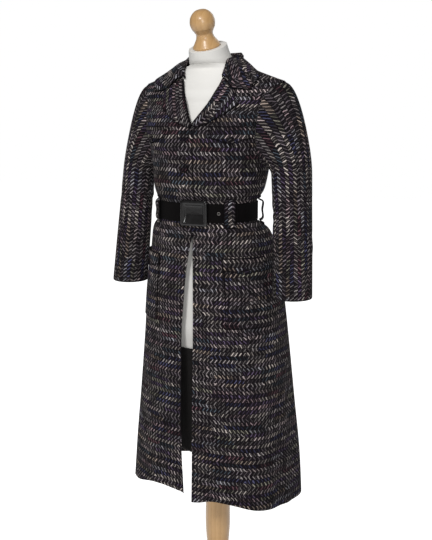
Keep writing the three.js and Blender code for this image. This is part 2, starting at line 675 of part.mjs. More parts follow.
// Belt round the waist, its free end lying over it beyond the buckle
function beltRing() {
  const steps = 64;
  const rows = [-1, 1].map((v) => Array.from({ length: steps }, (_, k) => {
    const deg = (360 * k) / steps;
    const at = onCoat(WAIST_Z, deg);
    const n = at.n.setZ(0).normalize();
    return { p: at.p.addScaledVector(n, 1.5 * SEAM + BELT_THICK).setZ(WAIST_Z + (v * BELT_HEIGHT) / 2), n };
  }));
  add("belt", wall(rows, BELT_THICK, true), velvet());
}

const BELT_END = { from: 31.5, to: 62, eyelet: 40.5 };

function beltEnd() {
  const out = 3 * SEAM + 2 * BELT_THICK;
  const rows = [-1, 1].map((v) => range(6).map((f) => {
    const at = onCoat(WAIST_Z, lerp(BELT_END.from, BELT_END.to, f));
    const n = at.n.setZ(0).normalize();
    const half = (BELT_HEIGHT / 2) * (f > 0.95 ? 0.82 : 1);
    return { p: at.p.addScaledVector(n, out).setZ(WAIST_Z + v * half), n };
  }));
  add("belt_end", wall(rows, BELT_THICK), velvet());
}

const EYELET = [
  { r: 1.6, h: 0 }, { r: 4.4, h: 0 }, { r: 4.4, h: 0.6 }, { r: 3.4, h: 1.2 }, { r: 1.6, h: 0.9 },
];

function eyelet() {
  const at = onCoat(WAIST_Z, BELT_END.eyelet);
  const n = at.n.setZ(0).normalize();
  const profile = [...EYELET, EYELET[0]].map(({ r, h }) => new THREE.Vector2(r, h));
  const mesh = add("belt_eyelet", new THREE.LatheGeometry(profile, 16), material(0x6b6866, 0.35, 0.8));
  mesh.position.copy(at.p).addScaledVector(n, 4 * SEAM + 2 * BELT_THICK);
  mesh.quaternion.setFromUnitVectors(new THREE.Vector3(0, 1, 0), n);
}

// Rings of the buckle from its back to its sunk plate: how much less than full size, and how far forward
const BUCKLE_RINGS = [
  { less: 4, y: 0 }, { less: 0, y: -2.5 }, { less: 0, y: -6.5 },
  { less: 5, y: -9 }, { less: 15, y: -9 }, { less: 26, y: -3.2 },
];

// Dish-shaped buckle: a raised rim with sloping inner faces round a sunk plate
function buckle() {
  const border = (w, h, y) => {
    const corner = Math.min(w, h) * 0.09;
    const points = [];
    for (const [sx, sz] of [[1, -1], [1, 1], [-1, 1], [-1, -1]]) {
      for (const k of [0, 1, 2]) {
        const a = Math.atan2(sz, sx) + ((k - 1) * Math.PI) / 4;
        points.push(new THREE.Vector3(
          sx * (w / 2 - corner) + corner * Math.cos(a),
          y,
          sz * (h / 2 - corner) + corner * Math.sin(a),
        ));
      }
    }
    return points;
  };
  const rings = BUCKLE_RINGS.map(({ less, y }) => border(BUCKLE_WIDTH - less, BUCKLE_HEIGHT - less, y));
  const mesh = add("buckle", loft(rings), gloss());
  const at = onCoat(WAIST_Z, degAt(BUCKLE_X, WAIST_Z));
  const n = at.n.setZ(0).normalize();
  mesh.position.copy(at.p).addScaledVector(n, 2.8 * SEAM + BELT_THICK).setZ(WAIST_Z);
  mesh.rotation.z = Math.atan2(n.x, -n.y);
}

// Carriers: upright straps of tweed that stand off over the belt
const CARRIER = [
  { z: 1125, out: 1.6 }, { z: 1118.5, out: 2.6 }, { z: 1115.5, out: 5 }, { z: 1112.5, out: 8.2 },
  { z: WAIST_Z, out: 8.5 },
  { z: 1067.5, out: 8.2 }, { z: 1064.5, out: 5 }, { z: 1061, out: 2.7 }, { z: 1054, out: 2.2 },
];
const CARRIER_WIDTH = 26;

// A slack carrier bows out further from the belt
function carrier(name, deg, slack) {
  const perDegree = coatPoint(WAIST_Z, deg + 0.5).distanceTo(coatPoint(WAIST_Z, deg - 0.5));
  const half = CARRIER_WIDTH / 2 / perDegree;
  const tall = 26;              // beyond this far from the belt's middle a carrier lies on the coat
  const rows = CARRIER.map(({ z, out }) => [-1, -0.33, 0.33, 1].map((f) => {
    const at = onCoat(z, deg + f * half);
    const n = onCoat(WAIST_Z, deg + f * half).n.setZ(0).normalize();
    const bow = slack * (1 - smooth(Math.abs(z - WAIST_Z), tall - 4, tall + 2));
    return at.p.addScaledVector(Math.abs(z - WAIST_Z) > tall ? at.n : n, out + bow);
  }));
  add(name, wallAbout(rows, CLOTH), tweed());
}

// Dress form
function formPoint(z, deg) {
  const plate = (p) => p.setX(THREE.MathUtils.clamp(p.x, -ARM_PLATE_X, ARM_PLATE_X));
  const top = FORM[FORM.length - 1].z;
  const low = sectionPoint(FORM, Math.min(z, top), deg).setZ(z);
  if (z <= top) return plate(low);
  const facing = Math.abs(Math.sin(radians(deg))) ** 6;
  const gap = lerp(5, SEAT_GAP, facing);
  const seat = plate(onCoat(z + SEAT_DROP, deg, -CLOTH - gap).p);
  const share = smooth(z, top, FORM_SEAT_Z);
  return low.lerp(seat, share);
}

function neckRing({ z, radius, y, tilt }, steps) {
  const lean = new THREE.Euler(radians(tilt), 0, 0);
  return Array.from({ length: steps }, (_, k) => {
    const a = radians((360 * k) / steps);
    return new THREE.Vector3(radius * Math.sin(a), -radius * Math.cos(a), 0).applyEuler(lean)
      .add(new THREE.Vector3(0, y, z));
  });
}

const FORM_ROWS = [742, 780, 840, 900, 960, 1000, 1030, 1062, 1090, 1120, 1160, 1210, 1260, 1310,
  1345, 1372, 1388, 1395, 1405, 1416, 1428];

function dressForm() {
  const steps = 28;
  const turns = Array.from({ length: steps }, (_, k) => (360 * k) / steps);
  const rings = FORM_ROWS.map((z) => turns.map((turn) => formPoint(z, degOfTurn(z + SEAT_DROP, turn))));
  for (const row of FORM_NECK) rings.push(neckRing(row, steps));
  add("form_body", loft(rings), jersey());
  const lower = LOWER_FORM.map(({ z }) => turns.map((turn) => sectionPoint(LOWER_FORM, z, turn)));
  add("form_lower", loft(lower), blackJersey());
}

function turned(name, rows, steps, position, tilt = 0) {
  const ends = [{ h: rows[0].h, r: 0 }, { h: rows[rows.length - 1].h, r: 0 }];
  const profile = [ends[0], ...rows, ends[1]].map(({ h, r }) => new THREE.Vector2(r, h));
  const mesh = add(name, new THREE.LatheGeometry(profile, steps), wood());
  mesh.position.copy(position);
  mesh.rotation.x = Math.PI / 2 + radians(tilt);
}

function stand() {
  const cap = FORM_NECK[FORM_NECK.length - 1];
  const seat = new THREE.Vector3(0, cap.y - KNOB_FORWARD, cap.z - KNOB_DROP);
  turned("neck_knob", KNOB, 16, seat, NECK_CAP_TILT);
  turned("stand_pole", STAND, 16, new THREE.Vector3(0, 0, BASE_HEIGHT + SEAM));
  const base = [{ h: 0, r: BASE_RADIUS - 3 }, { h: 4, r: BASE_RADIUS }, { h: 15, r: BASE_RADIUS },
    { h: 21, r: BASE_RADIUS - 8 }, { h: BASE_HEIGHT, r: BASE_RADIUS - 24 }];
  turned("stand_base", base, 36, new THREE.Vector3(0, 0, 0));
}

for (const side of ["left", "right"]) {
  frontPanel(side);
  sidePanel(side);
  sleeve(side);
  lapel(side);
  flapsAndPockets(side);
}
backPanel();
collar();
[1264, 1196].forEach((z, k) => {
  button(`front_button_${k + 1}`, z, -0.5, ON_COAT + BUTTON_SINK, FRONT_BUTTON_RADIUS, tweed());
});
beltRing();
beltEnd();
eyelet();
buckle();
for (const [name, deg, slack] of [["front", 52, 0.8], ["side", 105, 6.5]]) {
  carrier(`carrier_${name}_left`, deg, slack);
  carrier(`carrier_${name}_right`, -deg, slack);
}
dressForm();
stand();

export default group;
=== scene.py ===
"""Looks of a belted coat in coarse herringbone tweed on a dress form, built round the fixed CAD frame.

Sizes are millimetres and degrees from the front, as in the part's own tables. to_metres() scales them once,
when a mesh is made.
"""
import math

import bpy
import numpy as np
from mathutils import Matrix, Vector


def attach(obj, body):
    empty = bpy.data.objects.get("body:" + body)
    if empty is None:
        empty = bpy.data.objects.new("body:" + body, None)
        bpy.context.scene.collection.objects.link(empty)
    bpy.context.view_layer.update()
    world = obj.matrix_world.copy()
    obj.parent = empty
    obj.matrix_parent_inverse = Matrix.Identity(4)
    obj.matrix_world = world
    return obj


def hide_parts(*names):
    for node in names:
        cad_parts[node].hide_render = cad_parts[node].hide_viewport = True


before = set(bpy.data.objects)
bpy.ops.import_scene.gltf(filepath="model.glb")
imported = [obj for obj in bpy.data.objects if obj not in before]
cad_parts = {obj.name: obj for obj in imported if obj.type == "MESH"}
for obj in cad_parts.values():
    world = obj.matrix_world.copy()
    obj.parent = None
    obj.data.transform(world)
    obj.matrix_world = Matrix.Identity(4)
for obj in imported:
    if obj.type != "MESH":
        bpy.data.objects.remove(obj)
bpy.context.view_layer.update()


def rows_of(fields, *rows):
    """Rows of a table as dicts with the named fields."""
    return [dict(zip(fields.split(), row)) for row in rows]


# Driving dimensions
CLOTH = 2.4
SEAM = 0.3
HEM_LEVEL = 340
HEM_REACH = 640
WAIST_Z = 1090
BELT_HEIGHT = 45
BELT_THICK = 3
UNDERARM_Z = 1198
SHOULDER_Z = 1392
NECK_Z = 1444
CUFF_Z = 889
ARMHOLE_FRONT = 25.5
ARMHOLE_BACK = 24
BUTTON_RADIUS = 10
FRONT_BUTTON_RADIUS = 11.5
BUTTON_THICK = 5.5
BUCKLE_WIDTH = 68
BUCKLE_HEIGHT = 60
BUCKLE_X = 20
POLE_RADIUS = 31
BASE_RADIUS = 195
BASE_HEIGHT = 26

# Level sections of the coat
SECTIONS = rows_of("z side front back y square",
    (320, 228, 170, 162, -6, 2.6),
    (450, 220, 164, 156, -4, 2.55),
    (600, 205, 157, 150, -5, 2.5),
    (750, 191, 150, 144, -8, 2.4),
    (880, 177, 144, 138, -14, 2.35),
    (960, 165, 136, 128, -20, 2.3),
    (1010, 158, 130, 120, -26, 2.25),
    (1040, 150, 120, 109, -35, 2.2),
    (1058, 137, 110, 93, -46, 2.15),
    (1067, 125, 104, 82, -50, 2.15),
    (1113, 125, 104, 82, -50, 2.15),
    (1124, 132, 114, 89, -46, 2.15),
    (1142, 139, 124, 98, -40, 2.2),
    (1165, 143, 130, 103, -36, 2.2),
    (1200, 147, 136, 108, -31, 2.2),
    (1250, 158, 140, 112, -28, 2.2),
    (1300, 174, 130, 112, -24, 2.2),
    (1345, 188, 104, 104, -22, 2.1),
    (1372, 193, 88, 95, -22, 2.05),
    (1392, 191, 74, 86, -22, 2),
    (1406, 156, 66, 78, -22, 2),
    (1421, 116, 60, 70, -22, 2),
    (1436, 82, 56, 62, -22, 2),
    (1444, 64, 54, 58, -22, 2),
)

# Soft upright folds of the skirt
FOLDS = rows_of("deg half depth top",
    (-158, 15, 7, 940),
    (-126, 14, -8, 980),
    (-97, 14, 6, 900),
    (-76, 9, -6, 860),
    (-34, 11, 4, 760),
    (22, 10, -4, 720),
    (55, 13, 6, 760),
    (74, 9, -6, 820),
    (98, 13, 7, 900),
    (128, 14, -8, 980),
    (158, 15, 7, 940),
)

# Creases: short strokes from one place to another, with half width and depth (a hollow is negative)
CREASES = rows_of("deg z to_deg to_z wide depth",
    (13, 1116, 15, 1172, 7, -1.6),
    (30, 1117, 35, 1160, 6, 1.2),
    (42, 1116, 47, 1178, 7, -1.8),
    (60, 1117, 58, 1168, 7, 1.4),
    (84, 1117, 80, 1190, 8, -2.2),
    (-16, 1117, -20, 1164, 7, -1.5),
    (-37, 1116, -43, 1182, 7, 1.6),
    (-58, 1117, -56, 1164, 8, -1.8),
    (-82, 1117, -80, 1186, 8, 2.0),
    (125, 1117, 128, 1196, 9, -2.2),
    (152, 1117, 150, 1180, 8, 1.8),
    (172, 1117, 174, 1208, 8, -2.0),
    (-132, 1117, -130, 1192, 9, -2.2),
    (-156, 1117, -154, 1176, 8, 1.8),
    (26, 1064, 24, 1008, 8, -1.6),
    (66, 1064, 68, 996, 9, -2.0),
    (88, 1064, 92, 980, 9, 1.8),
    (-28, 1064, -26, 1004, 8, -1.6),
    (-66, 1064, -70, 990, 9, 1.8),
    (-90, 1064, -94, 976, 9, -2.0),
    (134, 1064, 137, 975, 10, 2.2),
    (160, 1064, 161, 990, 9, -2.0),
    (-138, 1064, -141, 984, 10, 2.2),
    (-163, 1064, -162, 972, 9, -2.0),
    (66, 1222, 48, 1248, 8, -1.6),
    (-66, 1226, -50, 1246, 8, -1.6),
    (118, 1250, 142, 1300, 11, -2.0),
    (-118, 1256, -140, 1296, 11, -2.0),
)
MM_PER_DEGREE = 2.5

# Height of the hem round the body
HEM = rows_of("deg z",
    (-180, 332), (-110, 340), (-54, 359), (-30, 381),
    (-4, 375), (2, 354), (30, 368), (54, 355),
    (75, 345), (96, 340), (180, 332),
)

# Front edges, as distance from the middle
FRONT_EDGES = rows_of("z right left",
    (340, -8, 15),
    (474, -17, 13),
    (620, -20, 12),
    (766, -20, 13),
    (876, -12, 14),
    (951, -5, 13),
    (1000, 4, 12.5),
    (1034, 11.5, 10),
    (1062, 17, -14),
    (1121, 20, -20),
    (1203, 20, -20),
    (1250, 18.5, -14),
    (1288, 14, 11),
    (1306, 3, 24.5),
    (1351, -25, 47.5),
    (1398, -49, 62),
    (1436, -66, 65.5),
    (1444, -63.5, 63.5),
)

# Seams from the armhole to the hem, in degrees from the front
SIDE_SEAMS = rows_of("z front back",
    (340, 64.6, 116),
    (628, 69, 114),
    (874, 76, 110),
    (1000, 78, 107),
    (1090, 72, 107),
    (1151, 69, 110),
    (1263, 65.75, 112.8),
)

# Sleeve: middle, half lengths of the oval section, and the turn of its long way
SLEEVE = [
    dict(z=894, x=233, y=-60, long=48, short=46, turn=45),
    dict(z=1020, x=226, y=-48, long=48, short=44, turn=50),
    dict(z=1100, x=221, y=-41, long=49, short=42.5, turn=56),
    dict(z=1180, x=215, y=-34, long=52, short=42, turn=62),
]

# Creases of a sleeve: place round the arm as a share of the way from its outer line, height, half width
# round the arm and along it, slope and depth
SLEEVE_CREASES = rows_of("turn z around along slope depth",
    (0.46, 1094, 0.13, 7, 60, -2.6),
    (0.42, 1070, 0.10, 8, -40, -1.8),
    (0.55, 1116, 0.12, 8, 30, 1.8),
    (0.20, 1128, 0.12, 10, 120, -1.5),
    (0.78, 1050, 0.14, 9, -90, -1.6),
    (0.36, 985, 0.13, 10, 80, -1.6),
    (0.62, 952, 0.12, 9, -60, 1.4),
    (0.90, 1006, 0.10, 12, 90, 1.3),
)

# Collar from the middle of the back to its front end
COLLAR = rows_of("deg neck fold fold_out mid_deg mid mid_out edge_deg edge edge_out",
    (180, 1445.3, 1468, 5, 180, 1446, 14, 180, 1426, 3.2),
    (156, 1445.3, 1468, 5, 156, 1446, 14, 155, 1426, 3.2),
    (132, 1445.3, 1467, 5, 130, 1445, 14, 128, 1427, 3.2),
    (111, 1445.3, 1465, 5, 109, 1443, 12, 106, 1428, 3.4),
    (94, 1445.3, 1461, 5, 92, 1440, 9, 91, 1427, 3.4),
    (70, 1443.5, 1454, 5, 80, 1431, 7, 82, 1416, 3.4),
    (56, 1434.5, 1443, 6, 70, 1415, 7, 74, 1400, 3.4),
    (46, 1420, 1426, 7, 59, 1396, 5.5, 67, 1385, 3.4),
    (40, 1404, 1407, 7, 50, 1376, 4.5, 63.5, 1372, 3.4),
)
COLLAR_LEAD = 3.8

# Roll of a lapel from inside the front to its edge
LAPEL_ROLL = rows_of("away share out",
    (-2.1, 0, -1.2),
    (-3.4, 0, 1.8),
    (-1, 0, 4.6),
    (0, 0.1, 5.4),
    (0, 0.28, 5.6),
    (0, 0.5, 5.6),
    (0, 0.75, 5),
    (0, 1, 4),
)
LAPEL_STEPS = [0, 0.14, 0.26, 0.38, 0.5, 0.6, 0.7, 0.78, 0.86, 0.93, 1]
LAPEL_BEND = 0.7
LAPEL_START = dict(left=dict(roll=1297, x=20, z=1287.5), right=dict(roll=1290.5, x=11, z=1286))
LAPEL_TIP = dict(left=dict(x=112, z=1341), right=dict(x=88, z=1337))
LAPEL_BELLY = dict(left=11, right=8)
NOTCH = dict(left=91, right=92, z=1372)
GORGE_Z = 1400.5

# Dress form
FORM = rows_of("z side front back y square",
    (742, 132, 112, 112, -12, 2.2),
    (800, 152, 122, 126, -12, 2.2),
    (880, 158, 120, 122, -14, 2.2),
    (960, 150, 112, 110, -20, 2.2),
    (1030, 124, 98, 84, -34, 2.15),
    (1066, 112, 90, 68, -46, 2.1),
    (1090, 108, 88, 66, -48, 2.1),
    (1150, 122, 102, 82, -40, 2.1),
    (1210, 136, 118, 92, -32, 2.1),
    (1260, 146, 127, 96, -28, 2.2),
    (1310, 156, 110, 96, -24, 2.3),
    (1345, 162, 87, 90, -22, 2.5),
)
LOWER_FORM = rows_of("z side front back y square",
    (452, 116, 100, 100, -6, 2.1),
    (462, 121, 105, 105, -6, 2.1),
    (560, 124, 108, 107, -8, 2.1),
    (680, 128, 110, 110, -10, 2.2),
    (741.4, 131, 111, 111, -12, 2.2),
)
FORM_SEAT_Z = 1395
SEAT_GAP = 0.8
SEAT_DROP = 4
ARM_PLATE_X = 163
FORM_NECK = [
    dict(z=1437, radius=56, y=-27, tilt=1),
    dict(z=1450, radius=52.5, y=-38, tilt=8),
    dict(z=1463, radius=49, y=-46, tilt=15),
    dict(z=1478, radius=46.5, y=-53, tilt=22),
]
NECK_CAP_TILT = 22
KNOB_FORWARD = 4
KNOB_DROP = 1.6
NECK_SEAM_AT = 0.16
NECK_SEAM_DEPTH = 0.7

# Turned profiles, as height and radius
KNOB = rows_of("h r",
    (0.4, 32), (4, 33.5), (12, 28.5), (24, 21.5), (32, 20),
    (40, 23.5), (48, 28), (59, 30), (70, 28), (80, 21.5),
    (87, 11), (88.5, 1),
)
STAND = rows_of("h r",
    (0, 22), (12, POLE_RADIUS + 14), (26, POLE_RADIUS + 12),
    (40, POLE_RADIUS), (70, POLE_RADIUS - 6), (110, POLE_RADIUS - 2),
    (190, POLE_RADIUS + 3), (300, POLE_RADIUS + 1), (384, POLE_RADIUS - 3),
    (394, POLE_RADIUS + 6), (412, POLE_RADIUS + 6), (425, POLE_RADIUS - 8),
)
BASE = rows_of("h r",
    (0, BASE_RADIUS - 3), (4, BASE_RADIUS), (15, BASE_RADIUS),
    (21, BASE_RADIUS - 8), (BASE_HEIGHT, BASE_RADIUS - 24),
)

# Weave of the tweed
ROW_PITCH = 9.7                # one row of slanted dashes
DASH_PITCH = 10.0
DASH_HALF = 1.35                # half width of a dash
DASH_REACH = 4.3                # half height of a dash
SLANT = 0.68                    # how far a dash leans for each millimetre up
BLOCK = 47                      # a colour runs this far along a row
STRIP = 86.0                    # the lean may change this far along a row
YARN_TONE = 1.22
EDGE_SHADE_REACH = 5.5              # painted shadow: the cloth is darker this near to a turned edge, standing for the shade under the rolled edge and partly for its flattened fibres
PLAIN_DEPTH = 60.0
SEAM_SHOWN = 0.06               # sewn panels meet more closely than their solids


# Maths of the surfaces

def smooth(value, low, high):
    t = np.clip((value - low) / (high - low), 0, 1)
    return t * t * (3 - 2 * t)


def column(table, name, at, key="z"):
    """Monotone curve through one column of a table."""
    x = np.array([row[key] for row in table], float)
    y = np.array([row[name] for row in table], float)
    slope = np.diff(y) / np.diff(x)
    both = slope[:-1] + slope[1:]
    turn = 2 * slope[:-1] * slope[1:] / np.where(both == 0, 1, both)
    tangent = np.concatenate([slope[:1], np.where(slope[:-1] * slope[1:] <= 0, 0, turn), slope[-1:]])
    at = np.clip(np.asarray(at, float), x[0], x[-1])
    i = np.clip(np.searchsorted(x, at, side="right") - 1, 0, len(x) - 2)
    step = x[i + 1] - x[i]
    t = (at - x[i]) / step
    rest = 1 - t
    return ((1 + 2 * t) * rest * rest * y[i] + t * rest * rest * step * tangent[i]
            + t * t * (3 - 2 * t) * y[i + 1] + t * t * (t - 1) * step * tangent[i + 1])


def section_point(table, z, deg, grow=0.0):
    z, deg = np.broadcast_arrays(np.asarray(z, float), np.asarray(deg, float))
    s = np.sin(np.radians(deg))
    c = np.cos(np.radians(deg))
    depth = np.where(c > 0, column(table, "front", z), column(table, "back", z))
    side = column(table, "side", z)
    square = column(table, "square", z)
    radius = (np.abs(c / depth) ** square + np.abs(s / side) ** square) ** (-1 / square) + grow
    return np.stack([radius * s, column(table, "y", z) - radius * c, z], axis=-1)


def turned_away(deg, middle):
    return (deg - middle + 540) % 360 - 180


def fold_depth(z, deg):
    total = 0.0
    for fold in FOLDS:
        away = np.minimum(np.abs(turned_away(deg, fold["deg"])) / fold["half"], 1)
        total = total + fold["depth"] * (1 - away * away) ** 2 * (1 - smooth(z, HEM_LEVEL, fold["top"]))
    return total


def crease_depth(z, deg):
    """Each crease is a soft stroke that fades out at both ends."""
    total = 0.0
    for crease in CREASES:
        across = turned_away(deg, crease["deg"]) * MM_PER_DEGREE
        up = z - crease["z"]
        run = turned_away(crease["to_deg"], crease["deg"]) * MM_PER_DEGREE
        rise = crease["to_z"] - crease["z"]
        t = np.clip((across * run + up * rise) / (run * run + rise * rise), 0, 1)
        away = np.hypot(across - t * run, up - t * rise) / crease["wide"]
        total = total + crease["depth"] * np.exp(-away * away) * (1 - 0.85 * t)
    return total * smooth(np.abs(z - WAIST_Z), BELT_HEIGHT / 2, BELT_HEIGHT / 2 + 9)


def coat_point(z, deg):
    return section_point(SECTIONS, z, deg, fold_depth(z, deg) + crease_depth(z, deg))


def unit(v):
    return v / np.maximum(np.linalg.norm(v, axis=-1, keepdims=True), 1e-9)


def coat_normal(z, deg):
    up = coat_point(z + 2, deg) - coat_point(z - 2, deg)
    round_ = coat_point(z, deg + 0.6) - coat_point(z, deg - 0.6)
    return unit(np.cross(round_, up))


def on_coat(z, deg, out=0.0):
    z, deg, out = np.broadcast_arrays(*(np.asarray(v, float) for v in (z, deg, out)))
    normal = coat_normal(z, deg)
    return coat_point(z, deg) + normal * out[..., None], normal


def deg_at(x, z):
    """Angle at which the front of the coat has a given x."""
    x, z = np.broadcast_arrays(np.asarray(x, float), np.asarray(z, float))
    low = np.full(x.shape, -90.0)
    high = np.full(x.shape, 90.0)
    for _ in range(40):
        mid = (low + high) / 2
        under = section_point(SECTIONS, z, mid, fold_depth(z, mid))[..., 0] < x
        low = np.where(under, mid, low)
        high = np.where(under, high, mid)
    return (low + high) / 2


def depth_at(z, deg):
    return np.where(np.cos(np.radians(deg)) > 0, column(SECTIONS, "front", z), column(SECTIONS, "back", z))


def turn_at(z, deg):
    """An even turn round an oval section. deg_of_turn() goes back."""
    side = np.sin(np.radians(deg)) / column(SECTIONS, "side", z)
    return np.degrees(np.arctan2(side, np.cos(np.radians(deg)) / depth_at(z, deg)))


def deg_of_turn(z, turn):
    side = np.sin(np.radians(turn)) * column(SECTIONS, "side", z)
    return np.degrees(np.arctan2(side, np.cos(np.radians(turn)) * depth_at(z, turn)))


def lerp(a, b, f):
    return a + (b - a) * f


def level_at(z, deg):
    """The lowest rows follow the hem round the body."""
    share = np.clip((HEM_REACH - z) / (HEM_REACH - HEM_LEVEL), 0, 1)
    return z + (column(HEM, "z", deg, "deg") - HEM_LEVEL) * share


def arm_z(turn):
    """Height on the armhole at a share of the way round it, from its top over the front."""
    return (SHOULDER_Z + UNDERARM_Z) / 2 + (SHOULDER_Z - UNDERARM_Z) / 2 * np.cos(2 * np.pi * turn)


def arm_deg(turn):
    s = np.sin(2 * np.pi * turn)
    return 90 - s * np.where(s > 0, ARMHOLE_FRONT, ARMHOLE_BACK)


def side_edge(z, which):
    """Edge of a panel at the side: the seam, then the armhole, then the shoulder seam."""
    half = (SHOULDER_Z - UNDERARM_Z) / 2
    u = (z - UNDERARM_Z - half) / half
    reach = -ARMHOLE_FRONT if which == "front" else ARMHOLE_BACK
    armhole = 90 + reach * np.sqrt(np.maximum(0, 1 - u * u))
    edge = np.where(z <= SIDE_SEAMS[-1]["z"], column(SIDE_SEAMS, which, z), armhole)
    return np.where(z >= SHOULDER_Z, 90, edge)


def half_seam(z, deg):
    radius = np.linalg.norm(coat_point(z, deg)[..., :2], axis=-1)
    return np.degrees(SEAM_SHOWN / 2 / radius)


# Places in the flat cloth, for the weave

def running(points, axis):
    """Length along a grid's lines, from 0 at their start."""
    steps = np.linalg.norm(np.diff(points, axis=axis), axis=-1)
    first = np.zeros_like(np.take(steps, [0], axis=axis))
    return np.concatenate([first, np.cumsum(steps, axis=axis)], axis=axis)


GRAIN_Z = np.arange(300, NECK_Z + 44, 4.0)
GRAIN_ARC = running(section_point(SECTIONS, GRAIN_Z[:, None], np.arange(181.0)), 1)
GRAIN_LENGTH = running(section_point(SECTIONS, GRAIN_Z, 30.0), 0)


def grain(z, deg):
    """How far a place of the body is across and along the cloth."""
    away = turned_away(deg, 0)
    size = np.clip(np.abs(away), 0, 179.999)
    row = np.clip((z - GRAIN_Z[0]) / 4, 0, len(GRAIN_Z) - 1.001)
    i, j = row.astype(int), size.astype(int)
    low = lerp(GRAIN_ARC[i, j], GRAIN_ARC[i + 1, j], row - i)
    high = lerp(GRAIN_ARC[i, j + 1], GRAIN_ARC[i + 1, j + 1], row - i)
    return np.sign(away) * lerp(low, high, size - j), np.interp(z, GRAIN_Z, GRAIN_LENGTH)


def turned_grain(coords, degrees):
    """The same place in a cloth laid at an angle."""
    c, s = math.cos(math.radians(degrees)), math.sin(math.radians(degrees))
    return coords[0] * c + coords[1] * s, coords[1] * c - coords[0] * s


# Meshes

ROUNDED = np.array([0, 0.53, 0.87])     # how thick the wall is in its first rows from an edge, as a share
NEAR_EDGE = 1 - np.sqrt(1 - ROUNDED ** 2)


def spread(length, count, radius=CLOTH / 2):
    """Places along a length as shares of it, with close ones at both ends, where the edge is rounded."""
    length = np.asarray(length, float)[..., None]
    near = np.broadcast_to(radius * NEAR_EDGE, length.shape[:-1] + (len(NEAR_EDGE),))
    inner = radius + np.linspace(0, 1, count + 1) * (length - 2 * radius)
    return np.concatenate([near, inner, length - near[..., ::-1]], axis=-1) / length


def fullness(count):
    return np.concatenate([ROUNDED, np.ones(count + 1), ROUNDED[::-1]])


def lengths(points, axis):
    return np.linalg.norm(np.diff(points, axis=axis), axis=-1).sum(axis=axis)


def grid_normals(points, closed=False):
    if closed:
        across = np.roll(points, -1, axis=1) - np.roll(points, 1, axis=1)
    else:
        across = np.gradient(points, axis=1)
    return unit(np.cross(across, np.gradient(points, axis=0)))


def to_metres(points):
    return [tuple(p) for p in np.asarray(points).reshape(-1, 3) / 1000]


def new_piece(name, points, faces, material, coords=None):
    mesh = bpy.data.meshes.new(name)
    mesh.from_pydata(to_metres(points), [], faces)
    mesh.polygons.foreach_set("use_smooth", [True] * len(mesh.polygons))
    if coords is not None:
        place = mesh.attributes.new("cloth", "FLOAT_VECTOR", "POINT")
        place.data.foreach_set("vector", np.asarray(coords, np.float32).reshape(-1))
    mesh.materials.append(material)
    piece = bpy.data.objects.new(name, mesh)
    bpy.context.collection.objects.link(piece)
    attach(piece, "root")
    return piece


def facing_out(points, faces):
    p = np.asarray(points, float).reshape(-1, 3)
    quads = np.array(faces)
    a, b, c, d = (p[quads[:, k]] for k in range(4))
    volume = (a * np.cross(b, c)).sum() + (a * np.cross(c, d)).sum()
    return [tuple(q) for q in (quads if volume > 0 else quads[:, ::-1])]


def from_edges(points, hidden):
    """How far each point lies from the edges of its piece, with a strip that is hidden at one side."""
    down, across = running(points, 0), running(points, 1)
    near = np.minimum(down, down[-1:] - down)
    return np.maximum(np.minimum(near, np.minimum(across - hidden, across[:, -1:] - across)), 0)


def shell(name, middle, normals, coords, full, material, thick=CLOTH, closed=False, hidden=None):
    """Cloth wall about a grid of middle points. Its outer and inner faces meet in rounded edges."""
    rows, cols = full.shape
    offset = normals * (full * thick / 2)[..., None]
    points = np.concatenate([(middle + offset).reshape(-1, 3), (middle - offset).reshape(-1, 3)])
    outer = np.arange(rows * cols).reshape(rows, cols)
    inner = np.where(full < 1e-6, outer, outer + rows * cols)
    across = cols if closed else cols - 1
    faces = []
    for i in range(rows - 1):
        for j in range(across):
            k = (j + 1) % cols
            faces.append((outer[i, j], outer[i, k], outer[i + 1, k], outer[i + 1, j]))
            faces.append((inner[i, j], inner[i + 1, j], inner[i + 1, k], inner[i, k]))
    across_mm, along_mm = coords
    inside = np.full_like(across_mm, PLAIN_DEPTH) if hidden is None else from_edges(middle, hidden)
    place = np.stack([across_mm, along_mm, inside], axis=-1).reshape(-1, 3)
    used, faces = only_used(facing_out(points, faces))
    place = np.concatenate([place, place])[used]
    return new_piece(name, points[used], faces, material, place)


def only_used(faces):
    """Indices of the points that faces use, and the faces counted anew in them."""
    quads = np.array(faces)
    used, again = np.unique(quads, return_inverse=True)
    return used, [tuple(q) for q in again.reshape(quads.shape)]


def declare_sheet(grid, closed=False):
    """Joins a closed grid's first column to its end, and does nothing further with it."""
    if closed:
        grid = np.concatenate([grid, grid[:, :1]], axis=1)


def cloth_wall(name, grid, normals, coords, full, closed=False, hidden=None):
    """Tweed wall whose outer face goes through the grid. It stands for the CAD node of its name."""
    piece = shell(name + "_cloth", grid - normals * CLOTH / 2, normals, coords, full, TWEED,
                  closed=closed, hidden=hidden)
    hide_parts(name)
    declare_sheet(grid, closed)
    return piece


def loft(name, rings, material, node):
    """Smooth solid from closed rings, closed by a fan at each end."""
    rings = np.asarray(rings, float)
    rows, cols = rings.shape[:2]
    ends = [rings[0].mean(axis=0), rings[-1].mean(axis=0)]
    points = np.concatenate([rings.reshape(-1, 3), ends])
    at = np.arange(rows * cols).reshape(rows, cols)
    after = np.roll(at, -1, axis=1)
    faces = [(at[i, j], after[i, j], after[i + 1, j], at[i + 1, j])
             for i in range(rows - 1) for j in range(cols)]
    first, last = rows * cols, rows * cols + 1
    fans = [(after[0, j], at[0, j], first) for j in range(cols)]
    fans += [(at[-1, j], after[-1, j], last) for j in range(cols)]
    quads = np.array(faces)
    a, b, c = (points[quads[:, k]] for k in range(3))
    centre = points.mean(axis=0)
    if ((a - centre) * np.cross(b - a, c - a)).sum() < 0:
        faces = [face[::-1] for face in faces]
        fans = [face[::-1] for face in fans]
    piece = new_piece(name, points, faces + fans, material)
    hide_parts(node)
    return piece


# Materials

